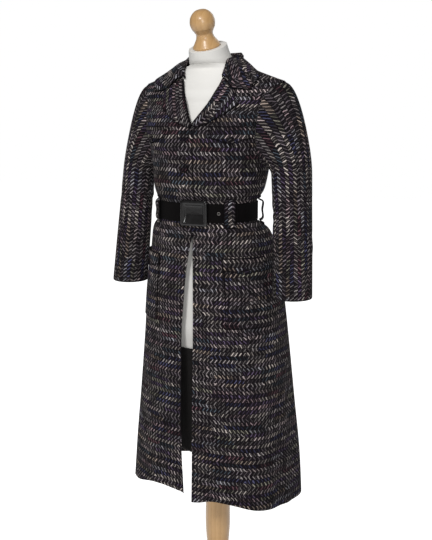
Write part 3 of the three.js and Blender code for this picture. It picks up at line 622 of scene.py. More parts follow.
class Wires:
    """Short calls for the nodes of one material."""

    def __init__(self, name):
        self.material = bpy.data.materials.new(name)
        self.material.use_nodes = True
        self.tree = self.material.node_tree
        self.shader = self.tree.nodes["Principled BSDF"]

    def node(self, kind, **settings):
        made = self.tree.nodes.new(kind)
        for name, value in settings.items():
            setattr(made, name, value)
        return made

    def feed(self, socket, value):
        if isinstance(value, bpy.types.NodeSocket):
            self.tree.links.new(value, socket)
        else:
            socket.default_value = value

    def calc(self, operation, *values):
        made = self.node("ShaderNodeMath", operation=operation)
        for k, value in enumerate(values):
            self.feed(made.inputs[k], value)
        return made.outputs[0]

    def plus(self, a, b):
        return self.calc("ADD", a, b)

    def minus(self, a, b):
        return self.calc("SUBTRACT", a, b)

    def times(self, a, b):
        return self.calc("MULTIPLY", a, b)

    def color(self, value):
        self.feed(self.shader.inputs["Base Color"], value)

    def fade(self, value, full, none):
        """1 up to full, softly down to 0 at none."""
        made = self.node("ShaderNodeMapRange", interpolation_type="SMOOTHSTEP")
        for k, given in enumerate((value, full, none, 1.0, 0.0)):
            self.feed(made.inputs[k], given)
        return made.outputs[0]

    def vector(self, x, y, z=0.0):
        made = self.node("ShaderNodeCombineXYZ")
        for k, value in enumerate((x, y, z)):
            self.feed(made.inputs[k], value)
        return made.outputs[0]

    def random(self, x, y, z=0.0):
        made = self.node("ShaderNodeTexWhiteNoise", noise_dimensions="3D")
        self.feed(made.inputs["Vector"], self.vector(x, y, z))
        return made.outputs["Value"]

    def noise(self, place, scale, detail=2.0, roughness=0.5):
        made = self.node("ShaderNodeTexNoise")
        self.feed(made.inputs["Vector"], place)
        self.feed(made.inputs["Scale"], scale)
        self.feed(made.inputs["Detail"], detail)
        self.feed(made.inputs["Roughness"], roughness)
        return made.outputs["Fac"]

    def mix(self, share, a, b, blend="MIX"):
        made = self.node("ShaderNodeMix", data_type="RGBA", blend_type=blend)
        self.feed(made.inputs[0], share)
        self.feed(made.inputs[6], a)
        self.feed(made.inputs[7], b)
        return made.outputs[2]

    def ramp(self, value, stops, steps=False):
        made = self.node("ShaderNodeValToRGB")
        made.color_ramp.interpolation = "CONSTANT" if steps else "LINEAR"
        elements = made.color_ramp.elements
        while len(elements) < len(stops):
            elements.new(0.5)
        for element, (at, color) in zip(elements, stops):
            element.position = at
            element.color = (*color, 1)
        self.feed(made.inputs[0], value)
        return made.outputs[0]

    def bump(self, height, millimetres, strength=1.0):
        made = self.node("ShaderNodeBump")
        self.feed(made.inputs["Strength"], strength)
        self.feed(made.inputs["Distance"], millimetres / 1000)
        self.feed(made.inputs["Height"], height)
        self.tree.links.new(made.outputs[0], self.shader.inputs["Normal"])

    def object_place(self):
        return self.node("ShaderNodeTexCoord").outputs["Object"]

    def settle(self, **values):
        for name, value in values.items():
            self.shader.inputs[name.replace("_", " ").title().replace("Ior", "IOR")].default_value = value


GROUND = (0.0036, 0.0029, 0.0038, 1)
SPECK = (0.016, 0.013, 0.016, 1)
BRIGHT_YARNS = [
    (0.0, (0.50, 0.44, 0.41)),
    (0.28, (0.38, 0.34, 0.34)),
    (0.52, (0.46, 0.38, 0.38)),
    (0.68, (0.34, 0.33, 0.36)),
    (0.80, (0.40, 0.32, 0.27)),
    (0.88, (0.36, 0.34, 0.28)),
    (0.94, (0.34, 0.25, 0.27)),
]
DIM_YARNS = [
    (0.0, (0.190, 0.160, 0.180)),
    (0.34, (0.130, 0.095, 0.160)),
    (0.52, (0.085, 0.085, 0.160)),
    (0.66, (0.200, 0.180, 0.180)),
    (0.84, (0.085, 0.105, 0.130)),
    (0.92, (0.150, 0.080, 0.095)),
]


def stripes(w, lean, shift, half, soft):
    """Slanted dashes of one row: their number, and a mask across them."""
    places = w.plus(w.calc("DIVIDE", lean, DASH_PITCH), shift)
    dash = w.calc("FLOOR", places)
    middle = w.minus(w.minus(places, dash), 0.5)
    across = w.calc("ABSOLUTE", w.times(middle, DASH_PITCH))
    return dash, w.fade(across, half - soft, half + soft)


def tweed():
    """Rows of slanted dashes of thick yarn, pale rows between darker ones, leaning to and fro."""
    w = Wires("tweed")
    place = w.node("ShaderNodeAttribute", attribute_name="cloth").outputs["Vector"]
    split = w.node("ShaderNodeSeparateXYZ")
    w.feed(split.inputs[0], place)
    wander = w.minus(w.noise(place, 0.022), 0.5)
    jitter = w.minus(w.noise(place, 0.13, detail=1.0), 0.5)
    x = w.plus(w.plus(split.outputs[0], w.times(wander, 7.0)),
               w.times(jitter, 4.5))
    y = w.plus(w.plus(split.outputs[1], w.times(wander, 5.0)),
               w.times(jitter, 2.5))
    rows = w.calc("DIVIDE", y, ROW_PITCH)
    row = w.calc("FLOOR", rows)
    height = w.times(w.minus(w.minus(rows, row), 0.5), ROW_PITCH)
    odd = w.calc("FLOORED_MODULO", row, 2.0)
    pair = w.calc("FLOOR", w.times(row, 0.5))
    shift = w.times(w.random(row, 7.0), float(BLOCK))
    block = w.calc("FLOOR", w.calc("DIVIDE", w.plus(x, shift), float(BLOCK)))
    strip = w.calc("FLOOR", w.calc("DIVIDE", w.plus(x, w.times(w.random(pair, 4.0), 30.0)),
                                   STRIP))
    leans = w.calc("GREATER_THAN", w.random(strip, pair, 3.0), 0.5)
    stray = w.calc("GREATER_THAN", w.random(strip, row, 5.0), 0.8)
    flip = w.calc("ABSOLUTE", w.minus(leans, stray))
    sign = w.minus(1.0, w.times(flip, 2.0))
    lean = w.plus(x, w.times(w.times(sign, SLANT), height))
    dash, wide = stripes(w, lean, 0.0, DASH_HALF, 0.65)
    thin_dash, thin = stripes(w, lean, 0.5, DASH_HALF * 0.55, 0.7)
    reach = w.plus(DASH_REACH - 0.6, w.times(w.random(dash, row, 8.0), 1.2))
    tall = w.fade(w.calc("ABSOLUTE", height), w.minus(reach, 0.9), w.plus(reach, 0.8))
    mask = w.times(wide, tall)
    tone = w.plus(0.22, w.times(w.random(dash, row), 0.95))
    runs = w.plus(0.45, w.times(w.random(block, row, 6.0), 0.75))
    bright = w.ramp(w.random(block, row, 1.0), BRIGHT_YARNS, steps=True)
    dim = w.ramp(w.random(block, row, 2.0), DIM_YARNS, steps=True)
    yarn = w.mix(odd, bright, dim)
    fuzz = w.noise(place, 0.9, detail=3.0, roughness=0.7)
    fibre = w.plus(0.40, w.times(fuzz, 1.2))
    shade = w.times(w.times(tone, fibre), w.times(runs, YARN_TONE))
    yarn = w.mix(1.0, yarn, w.vector(shade, shade, shade), blend="MULTIPLY")
    ground = w.mix(w.fade(w.noise(place, 0.55), 0.62, 0.48), GROUND, SPECK)
    thin_share = w.times(w.times(thin, tall), w.random(thin_dash, row, 9.0))
    ground = w.mix(w.times(thin_share, 0.30), ground, yarn)
    cloth = w.mix(mask, ground, yarn)
    # Painted shadow along turned edges: near an edge the cloth is mixed toward the dark ground, for the
    # shade under rolled lapel, collar, carrier, flap and pocket edges.
    painted_edge_shade = w.fade(split.outputs[2], 0.6, EDGE_SHADE_REACH)
    w.color(w.mix(w.times(painted_edge_shade, 0.92), cloth, GROUND))
    relief = w.plus(w.times(w.calc("MAXIMUM", mask, w.times(thin, 0.5)), 0.8),
                    w.times(fuzz, 0.6))
    w.bump(relief, 1.3, 0.9)
    w.settle(roughness=0.92, specular_ior_level=0.04, sheen_weight=0.01, sheen_roughness=0.5)
    return w.material


def velvet():
    w = Wires("velvet")
    nap = w.noise(w.object_place(), 260.0, detail=3.0)
    patches = w.noise(w.object_place(), 22.0)
    w.color(w.ramp(patches, [(0.3, (0.0012, 0.0010, 0.0011)), (0.7, (0.0026, 0.0021, 0.0022))]))
    w.bump(nap, 0.35, 0.5)
    w.settle(roughness=0.85, specular_ior_level=0.06, sheen_weight=0.02, sheen_roughness=0.35)
    return w.material


def jersey(name, light, dark, sheen):
    """Fine knit: close upright ribs with a soft grain."""
    w = Wires(name)
    place = w.object_place()
    knit = w.node("ShaderNodeTexWave", wave_type="BANDS", bands_direction="DIAGONAL")
    w.feed(knit.inputs["Vector"], place)
    w.feed(knit.inputs["Scale"], 180.0)
    w.feed(knit.inputs["Distortion"], 1.5)
    grainy = w.noise(place, 420.0, detail=3.0)
    cloudy = w.noise(place, 9.0)
    w.color(w.ramp(cloudy, [(0.3, dark), (0.7, light)]))
    w.bump(w.plus(w.times(knit.outputs["Fac"], 0.5), grainy), 0.25, 0.45)
    w.settle(roughness=0.85, specular_ior_level=0.2, sheen_weight=sheen, sheen_roughness=0.5)
    return w.material


def wood():
    """Turned beech: rings seen along the axis, fine pores, a satin lacquer."""
    w = Wires("wood")
    place = w.object_place()
    stretch = w.node("ShaderNodeMapping")
    w.feed(stretch.inputs["Vector"], place)
    stretch.inputs["Scale"].default_value = (1.0, 1.0, 0.12)
    rings = w.node("ShaderNodeTexWave", wave_type="BANDS", bands_direction="X", wave_profile="SAW")
    w.feed(rings.inputs["Vector"], stretch.outputs[0])
    w.feed(rings.inputs["Scale"], 26.0)
    w.feed(rings.inputs["Distortion"], 3.2)
    w.feed(rings.inputs["Detail"], 3.0)
    pores = w.noise(stretch.outputs[0], 520.0, detail=4.0)
    cloudy = w.noise(stretch.outputs[0], 14.0)
    base = w.ramp(cloudy, [(0.3, (0.52, 0.31, 0.125)), (0.7, (0.66, 0.42, 0.20))])
    dark = w.mix(1.0, base, (0.80, 0.72, 0.60, 1), blend="MULTIPLY")
    grained = w.mix(w.times(rings.outputs["Fac"], 0.55), base, dark)
    flecked = w.mix(w.times(w.fade(pores, 0.30, 0.42), 0.35), grained, (0.34, 0.18, 0.07, 1))
    w.color(flecked)
    w.bump(pores, 0.12, 0.25)
    w.settle(roughness=0.42, specular_ior_level=0.45, coat_weight=0.35, coat_roughness=0.22)
    return w.material


def gloss_black():
    w = Wires("gloss_black")
    scuffs = w.noise(w.object_place(), 60.0, detail=4.0)
    w.color(w.ramp(scuffs, [(0.3, (0.0040, 0.0036, 0.0038)), (0.7, (0.0070, 0.0062, 0.0066))]))
    w.feed(w.shader.inputs["Roughness"], w.plus(0.16, w.times(scuffs, 0.14)))
    w.settle(specular_ior_level=0.30, coat_weight=0.06, coat_roughness=0.1)
    return w.material


def eyelet_metal():
    w = Wires("eyelet_metal")
    worn = w.noise(w.object_place(), 700.0, detail=4.0)
    w.color(w.ramp(worn, [(0.3, (0.035, 0.033, 0.031)), (0.7, (0.09, 0.085, 0.08))]))
    w.feed(w.shader.inputs["Roughness"], w.plus(0.25, w.times(worn, 0.25)))
    w.settle(metallic=1.0)
    return w.material


TWEED = tweed()
VELVET = velvet()
WHITE_JERSEY = jersey("jersey_white", (0.80, 0.785, 0.755), (0.75, 0.735, 0.70), 0.1)
BLACK_JERSEY = jersey("jersey_black", (0.0075, 0.0062, 0.0062), (0.0050, 0.0042, 0.0042), 0.05)
WOOD = wood()
GLOSS = gloss_black()
METAL = eyelet_metal()


# Coat body

BODY_ROWS = 190
BODY_HEIGHTS = lerp(HEM_LEVEL, NECK_Z, spread(NECK_Z - HEM_LEVEL, BODY_ROWS))


def underlap(x, z):
    """How far the left front lies in under the right front."""
    edge = column(FRONT_EDGES, "right", z)
    across = 1 - smooth(x, edge + 5, edge + 30)
    return -(CLOTH + 3 * SEAM) * across * smooth(z, 985, 1022) * (1 - smooth(z, 1306, 1340))


def row_width(z, start, end):
    places = lerp(start[:, None], end[:, None], np.linspace(0, 1, 13))
    return lengths(coat_point(z[:, None], places), 1)


def front_panel(side, mirror):
    cols = 54
    z = BODY_HEIGHTS
    start = deg_at(column(FRONT_EDGES, side, z), z)
    end = mirror * (side_edge(z, "front") - half_seam(z, side_edge(z, "front")))
    share = spread(row_width(z, start, end), cols)
    rows = z[:, None]
    turn = lerp(turn_at(z, start)[:, None], turn_at(z, end)[:, None], share)
    deg = deg_of_turn(rows, turn)
    level = level_at(rows, deg)
    out = underlap(coat_point(level, deg)[..., 0], rows) if side == "left" else 0.0
    grid, normals = on_coat(level, deg, out)
    full = np.minimum(fullness(BODY_ROWS)[:, None], fullness(cols))
    cloth_wall(f"front_{side}", grid, normals, grain(level, deg), full)


def side_panel(side, mirror):
    cols, skirt_rows, arch_rows = 26, 150, 22
    arch_z = 1172
    z = lerp(HEM_LEVEL, arch_z, spread(arch_z - HEM_LEVEL, skirt_rows)[:-3])
    start = side_edge(z, "front") + half_seam(z, side_edge(z, "front"))
    end = side_edge(z, "back") - half_seam(z, side_edge(z, "back"))
    width = row_width(z, start, end)
    share = spread(width, cols)
    deg = lerp(start[:, None], end[:, None], share)
    level = level_at(z[:, None], deg)
    turn = lerp(0.3, 0.7, spread(width[-1], cols))
    top = arm_z(turn)
    rise = 1 - np.concatenate([np.linspace(1, 0, arch_rows + 1)[1:-1] + 0.01, [0.008, 0.003, 0]])
    arch = lerp(arch_z, top[None, :], rise[:, None])
    front, back = side_edge(arch, "front"), side_edge(arch, "back")
    front = front + half_seam(arch, front)
    back = back - half_seam(arch, back)
    even = lerp(front, back, spread(width[-1], cols)[None, :])
    arch_deg = lerp(even, arm_deg(turn)[None, :], rise[:, None] ** 2)
    arch_deg = np.clip(arch_deg, front, back)
    all_deg = mirror * np.concatenate([deg, arch_deg])
    all_level = np.concatenate([level, arch])
    grid, normals = on_coat(all_level, all_deg)
    down = np.concatenate([ROUNDED, np.ones(len(z) + len(rise) - 6), ROUNDED[::-1]])
    full = np.minimum(down[:, None], fullness(cols))
    cloth_wall(f"side_{side}", grid, normals, grain(all_level, all_deg), full)


def back_panel():
    cols = 96
    z = BODY_HEIGHTS
    edge = side_edge(z, "back") + half_seam(z, side_edge(z, "back"))
    turn_from = turn_at(z, edge)
    share = spread(row_width(z, edge, 360 - edge), cols)
    turn = lerp(turn_from[:, None], 360 - turn_from[:, None], share)
    deg = deg_of_turn(z[:, None], turn) % 360
    deg = deg + lerp(edge[:, None] - deg[:, :1], 360 - edge[:, None] - deg[:, -1:], share)
    deg = turned_away(deg, 0)
    level = level_at(z[:, None], deg)
    grid, normals = on_coat(level, deg)
    full = np.minimum(fullness(BODY_ROWS)[:, None], fullness(cols))
    across, along = grain(level, deg)
    half_round, _ = grain(level, np.full_like(level, 179.999))
    coords = (np.sign(across) * (half_round - np.abs(across)), along)
    cloth_wall("back", grid, normals, coords, full)


# Sleeves

SLEEVE_ROUND = 300              # a sleeve's cloth round the arm
HEAD_OUT = 0.16
HEAD_DOWN = 0.36


def sleeve_ring(z, turn, mirror):
    """Points of a sleeve's level section, at shares of the way round."""
    a = 2 * np.pi * turn
    long, short = column(SLEEVE, "long", z), column(SLEEVE, "short", z)
    away = np.arctan2(-np.sin(a), np.cos(a)) - np.radians(column(SLEEVE, "turn", z))
    radius = long * short / np.hypot(short * np.cos(away), long * np.sin(away))
    x = column(SLEEVE, "x", z) + radius * np.cos(a)
    y = column(SLEEVE, "y", z) - radius * np.sin(a)
    return np.stack(np.broadcast_arrays(mirror * x, y, z), axis=-1)


def bezier(a, b, c, d, t):
    rest = 1 - t
    return a * rest ** 3 + 3 * b * rest ** 2 * t + 3 * c * rest * t * t + d * t ** 3


def sleeve_creases(z, turn):
    total = 0.0
    for crease in SLEEVE_CREASES:
        round_ = (turn - crease["turn"] + 1.5) % 1 - 0.5
        up = z - crease["z"] - crease["slope"] * round_
        away = (round_ / crease["around"]) ** 2 + (up / crease["along"]) ** 2
        total = total + crease["depth"] * np.exp(-away)
    return total


def sleeve(side, mirror):
    cols, head_rows, arm_rows = 112, 34, 66
    turn = np.arange(cols) / cols
    join = SLEEVE[-1]["z"]
    lower = sleeve_ring(np.full(cols, float(join)), turn, mirror)
    below = sleeve_ring(np.full(cols, join - 30.0), turn, mirror)
    up = np.cos(2 * np.pi * turn)
    leave = unit(np.stack([mirror * (0.75 + 0.2 * up), np.zeros(cols), -0.62 + 0.25 * up], axis=-1))
    start = on_coat(arm_z(turn), mirror * arm_deg(turn))[0] + leave * 1.5 * SEAM
    span = np.linalg.norm(lower - start, axis=-1, keepdims=True)
    arrive = unit(below - lower)
    t = spread(span.mean(), head_rows)[:-4, None, None]
    head = bezier(start, start + leave * span * HEAD_OUT, lower - arrive * span * HEAD_DOWN, lower, t)
    z = lerp(join, CUFF_Z, spread(join - CUFF_Z, arm_rows)[3:])
    arm = sleeve_ring(z[:, None], turn[None, :], mirror)
    grid = np.concatenate([head, arm])
    normals = grid_normals(grid, closed=True)
    middle = grid.mean(axis=1, keepdims=True)
    if ((grid - middle) * normals).sum() < 0:
        normals = -normals
    grid = grid + normals * sleeve_creases(grid[..., 2], turn[None, :])[..., None]
    down = np.concatenate([ROUNDED, np.ones(len(grid) - 6), ROUNDED[::-1]])
    full = np.repeat(down[:, None], cols, axis=1)
    length = running(grid, 0)
    length = length - length[len(head)]
    around = np.abs(turn - 0.5) * SLEEVE_ROUND
    coords = (length, np.broadcast_to(around, length.shape))
    cloth_wall(f"sleeve_{side}", grid, normals, coords, full, closed=True)


# Collar and lapels

LAPEL_GRAIN = 84
LAPEL_HIDDEN = 6
COLLAR_GRAIN = 45


def along_curve(grid, count, axis, shares=None):
    """Smooth curves through a grid's points along one axis, with close points at both ends."""
    grid = np.moveaxis(np.asarray(grid, float), axis, 0)
    gap = np.linalg.norm(np.diff(grid, axis=0), axis=-1).mean(axis=1)
    at = np.concatenate([[0], np.cumsum(gap)])
    place = (spread(at[-1], count) if shares is None else shares) * at[-1]
    i = np.clip(np.searchsorted(at, place, side="right") - 1, 0, len(gap) - 1)
    step = gap[:, None, None]
    slope = np.diff(grid, axis=0) / step
    middle = (slope[:-1] * step[1:] + slope[1:] * step[:-1]) / (step[:-1] + step[1:])
    tangent = np.concatenate([slope[:1], middle, slope[-1:]])
    t = ((place - at[i]) / gap[i])[:, None, None]
    rest = 1 - t
    made = ((1 + 2 * t) * rest * rest * grid[i] + t * rest * rest * step[i] * tangent[i]
            + t * t * (3 - 2 * t) * grid[i + 1] + t * t * (t - 1) * step[i] * tangent[i + 1])
    return np.moveaxis(made, 0, axis)


def bias_coords(grid, degrees):
    """Place in cloth laid aslant, for a piece cut on the cross."""
    across = running(grid, 1)
    along = running(grid, 0).mean(axis=1, keepdims=True) + np.zeros_like(across)
    return turned_grain((across, along), degrees)


def laid_wall(name, grid, rows, cols, outward, degrees, hidden=0):
    """Tweed wall about a smooth grid of middle points."""
    fine = along_curve(along_curve(grid, rows, 0), cols, 1)
    normals = grid_normals(fine)
    if (normals * outward(fine)).sum() < 0:
        normals = -normals
    full = np.minimum(fullness(rows)[:, None], fullness(cols))
    piece = shell(name + "_cloth", fine, normals, bias_coords(fine, degrees), full, TWEED,
                  hidden=hidden)
    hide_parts(name)
    declare_sheet(fine)


def forward(points):
    return np.broadcast_to(np.array([0.0, -1.0, 0.0]), points.shape)


def outward_from_neck(points):
    return points - np.array([0.0, -22.0, 1400.0])


def lapel(side, mirror):
    start, tip, notch = LAPEL_START[side], LAPEL_TIP[side], mirror * NOTCH[side]
    rows = []
    for v in LAPEL_STEPS:
        roll_z = lerp(start["roll"], GORGE_Z, v)
        roll_x = column(FRONT_EDGES, side, roll_z)
        if v < LAPEL_BEND:
            f = v / LAPEL_BEND
            edge_x = lerp(start["x"], tip["x"] * mirror, f)
            edge_z = lerp(start["z"], tip["z"], f) - LAPEL_BELLY[side] * 4 * f * (1 - f)
        else:
            f = (v - LAPEL_BEND) / (1 - LAPEL_BEND)
            edge_x, edge_z = lerp(tip["x"] * mirror, notch, f), lerp(tip["z"], NOTCH["z"], f)
        row = []
        for step in LAPEL_ROLL:
            z = lerp(roll_z, edge_z, step["share"])
            x = lerp(roll_x, edge_x, step["share"]) + mirror * step["away"]
            row.append(on_coat(z, deg_at(x, z), step["out"])[0])
        rows.append(row)
    laid_wall(f"lapel_{side}", rows, 60, 44, forward, mirror * LAPEL_GRAIN,
              LAPEL_HIDDEN)


def collar_rows(side, mirror):
    rows = []
    for row in COLLAR:
        deg = row["deg"]
        if row["neck"] <= NECK_Z:
            deg = abs(deg_at(column(FRONT_EDGES, side, row["neck"]), row["neck"])) - COLLAR_LEAD
        places = [
            (row["neck"], deg, -CLOTH / 2),
            (lerp(row["neck"], row["fold"], 0.65), deg, 0.6 - CLOTH / 2),
            (row["fold"], deg + 0.6, row["fold_out"] * 0.5),
            (lerp(row["fold"], row["mid"], 0.25), lerp(deg, row["mid_deg"], 0.3), row["fold_out"] + 3),
            (row["mid"], row["mid_deg"], row["mid_out"]),
            (lerp(row["mid"], row["edge"], 0.55), lerp(row["mid_deg"], row["edge_deg"], 0.55),
             lerp(row["mid_out"], row["edge_out"], 0.5)),
            (row["edge"], row["edge_deg"], row["edge_out"]),
        ]
        rows.append([on_coat(z, d, out)[0] * np.array([mirror, 1, 1]) for z, d, out in places])
    return rows


def collar():
    rows = collar_rows("right", -1)[:0:-1] + collar_rows("left", 1)
    laid_wall("collar", rows, 150, 40, outward_from_neck, COLLAR_GRAIN)


# Flaps, pockets and buttons

ON_COAT = SEAM
ON_PIECE = 2 * SEAM + CLOTH
BUTTON_SINK = 0.25
BUTTON_GRAIN = 1.15             # its cloth is stretched over the dome
# made-up distance from an edge for a button's cloth, so that the painted edge shade darkens the whole
# button part way
BUTTON_SHADE_DEPTH = 2.4
CHEST_FLAP = dict(start=23.5, end=63, top=1291, corner=1266, point=1250, button=1259)
HIP_POCKET = dict(start=36, end=74, top=978, corner=812, point=812)
HIP_FLAP = dict(start=35, end=75, top=985, corner=956, point=944, button=954)


def laid_piece(name, mirror, shape, out):
    cols, rows = 60, 60 if shape is HIP_POCKET else 24
    width = (shape["end"] - shape["start"]) * MM_PER_DEGREE
    share = spread(width, cols)
    deg = mirror * lerp(shape["start"], shape["end"], share)
    bottom = lerp(shape["corner"], shape["point"], 1 - np.sqrt((2 * share - 1) ** 2 + 0.002))
    up = spread((shape["top"] - bottom).mean(), rows)
    z = lerp(bottom[None, :], float(shape["top"]), up[:, None])
    deg = np.broadcast_to(deg, z.shape)
    grid, normals = on_coat(z, deg, out + CLOTH)
    full = np.minimum(fullness(rows)[:, None], fullness(cols))
    across, along = grain(z, deg)
    cloth_wall(name, grid, normals, (across + 17 * out, along + 2 * out), full, hidden=0)


BUTTON = rows_of("r h",
    (0.02, 0), (0.72, 0), (0.96, 0.22), (1, 0.42), (0.95, 0.64),
    (0.8, 0.84), (0.5, 0.97), (0.02, 1),
)


def lathe_rings(profile, steps, place, axis):
    """Rings of a turned shape on an axis, from a list of radius and height."""
    turn = Vector((0, 0, 1)).rotation_difference(Vector([float(v) for v in axis])).to_matrix()
    turn = np.array(turn)
    angle = 2 * np.pi * np.arange(steps) / steps
    rings = []
    for radius, height in profile:
        ring = np.stack([radius * np.cos(angle), radius * np.sin(angle), np.full(steps, height)], axis=-1)
        rings.append(ring @ turn.T + place)
    return np.array(rings)


def button(name, z, deg, out, radius):
    """Button covered in the tweed: a dome with a rounded rim, its cloth darkened all over by part of the
    painted edge shade.
    """
    place, normal = on_coat(z, deg, out)
    t = np.linspace(0, len(BUTTON) - 1, 22)
    table = [dict(t=k, **row) for k, row in enumerate(BUTTON)]
    heights = column(table, "h", t, "t")
    profile = [(radius * r, BUTTON_THICK * h) for r, h in zip(column(table, "r", t, "t"), heights)]
    rings = lathe_rings(profile, 32, place, normal)
    piece = loft(name + "_covered", rings, TWEED, name)
    flat = lathe_rings([(r, 0) for r, _ in profile], 32, np.zeros(3), np.array([0, 0, 1.0]))
    flat = np.concatenate([flat.reshape(-1, 3), np.zeros((2, 3))])
    coords = flat * BUTTON_GRAIN + np.array([z, deg, BUTTON_SHADE_DEPTH])
    attribute = piece.data.attributes.new("cloth", "FLOAT_VECTOR", "POINT")
    attribute.data.foreach_set("vector", coords.astype(np.float32).reshape(-1))


def flap(name, button_name, mirror, shape, out):
    laid_piece(name, mirror, shape, out)
    over = out + CLOTH + SEAM + BUTTON_SINK
    button(button_name, shape["button"], mirror * (shape["start"] + shape["end"]) / 2, over, BUTTON_RADIUS)


# Belt, buckle and carriers

def belt_point(z, deg, out):
    """Point and level normal beside the waist, where the belt is upright."""
    place, normal = on_coat(np.full_like(deg, float(WAIST_Z)), deg)
    normal = unit(normal * np.array([1, 1, 0]))
    place = place + normal * out
    z = np.broadcast_to(z, deg.shape)
    return np.stack([place[..., 0], place[..., 1], z], axis=-1), normal


def strap(name, deg, out, height, closed, node):
    """Velvet strap round the waist with rounded edges."""
    rows = 14
    up = spread(BELT_HEIGHT, rows, BELT_THICK / 2)
    z = WAIST_Z + (up[:, None] - 0.5) * height[None, :]
    grid, normals = belt_point(z, np.broadcast_to(deg, z.shape), out)
    full = np.repeat(fullness(rows)[:, None], len(deg), axis=1)
    if not closed:
        full = np.minimum(full, fullness(len(deg) - 7)[None, :])
    coords = (np.zeros(z.shape), np.zeros(z.shape))
    piece = shell(name, grid - normals * BELT_THICK / 2, normals, coords, full, VELVET,
                  thick=BELT_THICK, closed=closed)
    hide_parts(node)
    declare_sheet(grid, closed)


BELT_END = dict(start=31.5, end=62, eyelet=40.5)


def belt():
    deg = np.arange(240) * 1.5
    strap("belt_velvet", deg, 1.5 * SEAM + BELT_THICK, np.full(len(deg), float(BELT_HEIGHT)), True, "belt")
    width = (BELT_END["end"] - BELT_END["start"]) * MM_PER_DEGREE * 0.8
    share = spread(width, 40, BELT_THICK / 2)
    tip = np.clip((share - 0.80) / 0.20, 0, 1)
    height = BELT_HEIGHT * (1 - 0.18 * tip ** 2.5)
    deg = lerp(BELT_END["start"], BELT_END["end"], share)
    strap("belt_end_velvet", deg, 3 * SEAM + 2 * BELT_THICK, height, False, "belt_end")


EYELET = rows_of("r h",
    (1.6, 0), (4.4, 0), (4.5, 0.5), (4.0, 1.05), (3.2, 1.2),
    (2.3, 1.1), (1.6, 0.6),
)


def eyelet():
    place, normal = belt_point(WAIST_Z, np.array([float(BELT_END["eyelet"])]), 4 * SEAM + 2 * BELT_THICK)
    rings = lathe_rings([(row["r"], row["h"]) for row in EYELET], 40, place[0], normal[0])
    rows, cols = rings.shape[:2]
    at = np.arange(rows * cols).reshape(rows, cols)
    down, after = np.roll(at, -1, axis=0), np.roll(at, -1, axis=1)
    both = np.roll(down, -1, axis=1)
    faces = [(at[i, j], after[i, j], both[i, j], down[i, j]) for i in range(rows) for j in range(cols)]
    piece = new_piece("belt_eyelet_ring", rings, facing_out(rings, faces), METAL)
    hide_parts("belt_eyelet")


# Rings of the buckle from its back to its sunk plate: how much smaller than its full size each one is at
# the sides, the top and the bottom, and how far forward it is
BUCKLE_RINGS = rows_of("side top bottom y",
    (2, 2, 2, 0),
    (0.5, 0.5, 0.5, -0.8),
    (0, 0, 0, -2.2),
    (0, 0, 0, -6.4),
    (0.5, 0.5, 0.5, -7.7),
    (1.8, 1.8, 1.8, -8.7),
    (3.6, 3.6, 3.6, -9),
    (7.2, 7.4, 7.0, -9),
    (8.2, 8.4, 7.9, -8.6),
    (9.0, 9.4, 8.8, -7.8),
    (12.0, 12.6, 23.5, -3.8),
    (12.8, 13.4, 24.6, -3.4),
    (16.0, 16.6, 27.5, -3.2),
)


def buckle():
    corner_steps = 7
    rings = []
    for row in BUCKLE_RINGS:
        half = BUCKLE_WIDTH / 2 - row["side"]
        top, bottom = BUCKLE_HEIGHT / 2 - row["top"], BUCKLE_HEIGHT / 2 - row["bottom"]
        corner = 5.2 - 0.2 * row["side"]
        ring = []
        for sx, up, start in ((1, -bottom, -90), (1, top, 0), (-1, top, 90), (-1, -bottom, 180)):
            for angle in np.radians(start + np.linspace(0, 90, corner_steps)):
                x = sx * (half - corner) + corner * math.cos(angle)
                z = up - math.copysign(corner, up) + corner * math.sin(angle)
                ring.append((x, row["y"], z))
        rings.append(ring)
    rings = np.array(rings, float)
    deg = deg_at(float(BUCKLE_X), float(WAIST_Z))
    place, normal = belt_point(WAIST_Z, np.array([float(deg)]), 2.8 * SEAM + BELT_THICK)
    place, normal = place[0], normal[0]
    sideways = np.array([-normal[1], normal[0], 0.0])
    local = np.stack([sideways, -normal, np.array([0.0, 0.0, 1.0])])
    loft("buckle_gloss", rings @ local + place, GLOSS, "buckle")


CARRIER = rows_of("z out",
    (1125, 1.6), (1118.5, 2.6), (1115.5, 5), (1112.5, 8.2),
    (WAIST_Z, 8.5),
    (1067.5, 8.2), (1064.5, 5), (1061, 2.7), (1054, 2.2),
)
CARRIER_WIDTH = 26
CARRIER_TALL = 26


def carrier(name, deg, slack):
    waist = coat_point(float(WAIST_Z), np.array([deg - 0.5, deg + 0.5]))
    half = CARRIER_WIDTH / 2 / lengths(waist, 0)
    rows = []
    for step in CARRIER:
        row = []
        for f in (-1, -0.33, 0.33, 1):
            place, normal = on_coat(float(step["z"]), deg + f * half)
            if abs(step["z"] - WAIST_Z) <= CARRIER_TALL:
                normal = unit(on_coat(float(WAIST_Z), deg + f * half)[1] * np.array([1, 1, 0]))
            bow = slack * (1 - smooth(abs(step["z"] - WAIST_Z), CARRIER_TALL - 4, CARRIER_TALL + 2))
            row.append(place + normal * (step["out"] + bow))
        rows.append(row)
    laid_wall(name, rows, 44, 12, lambda p: p - np.array([0.0, -50.0, WAIST_Z]), 90)


# Dress form and stand

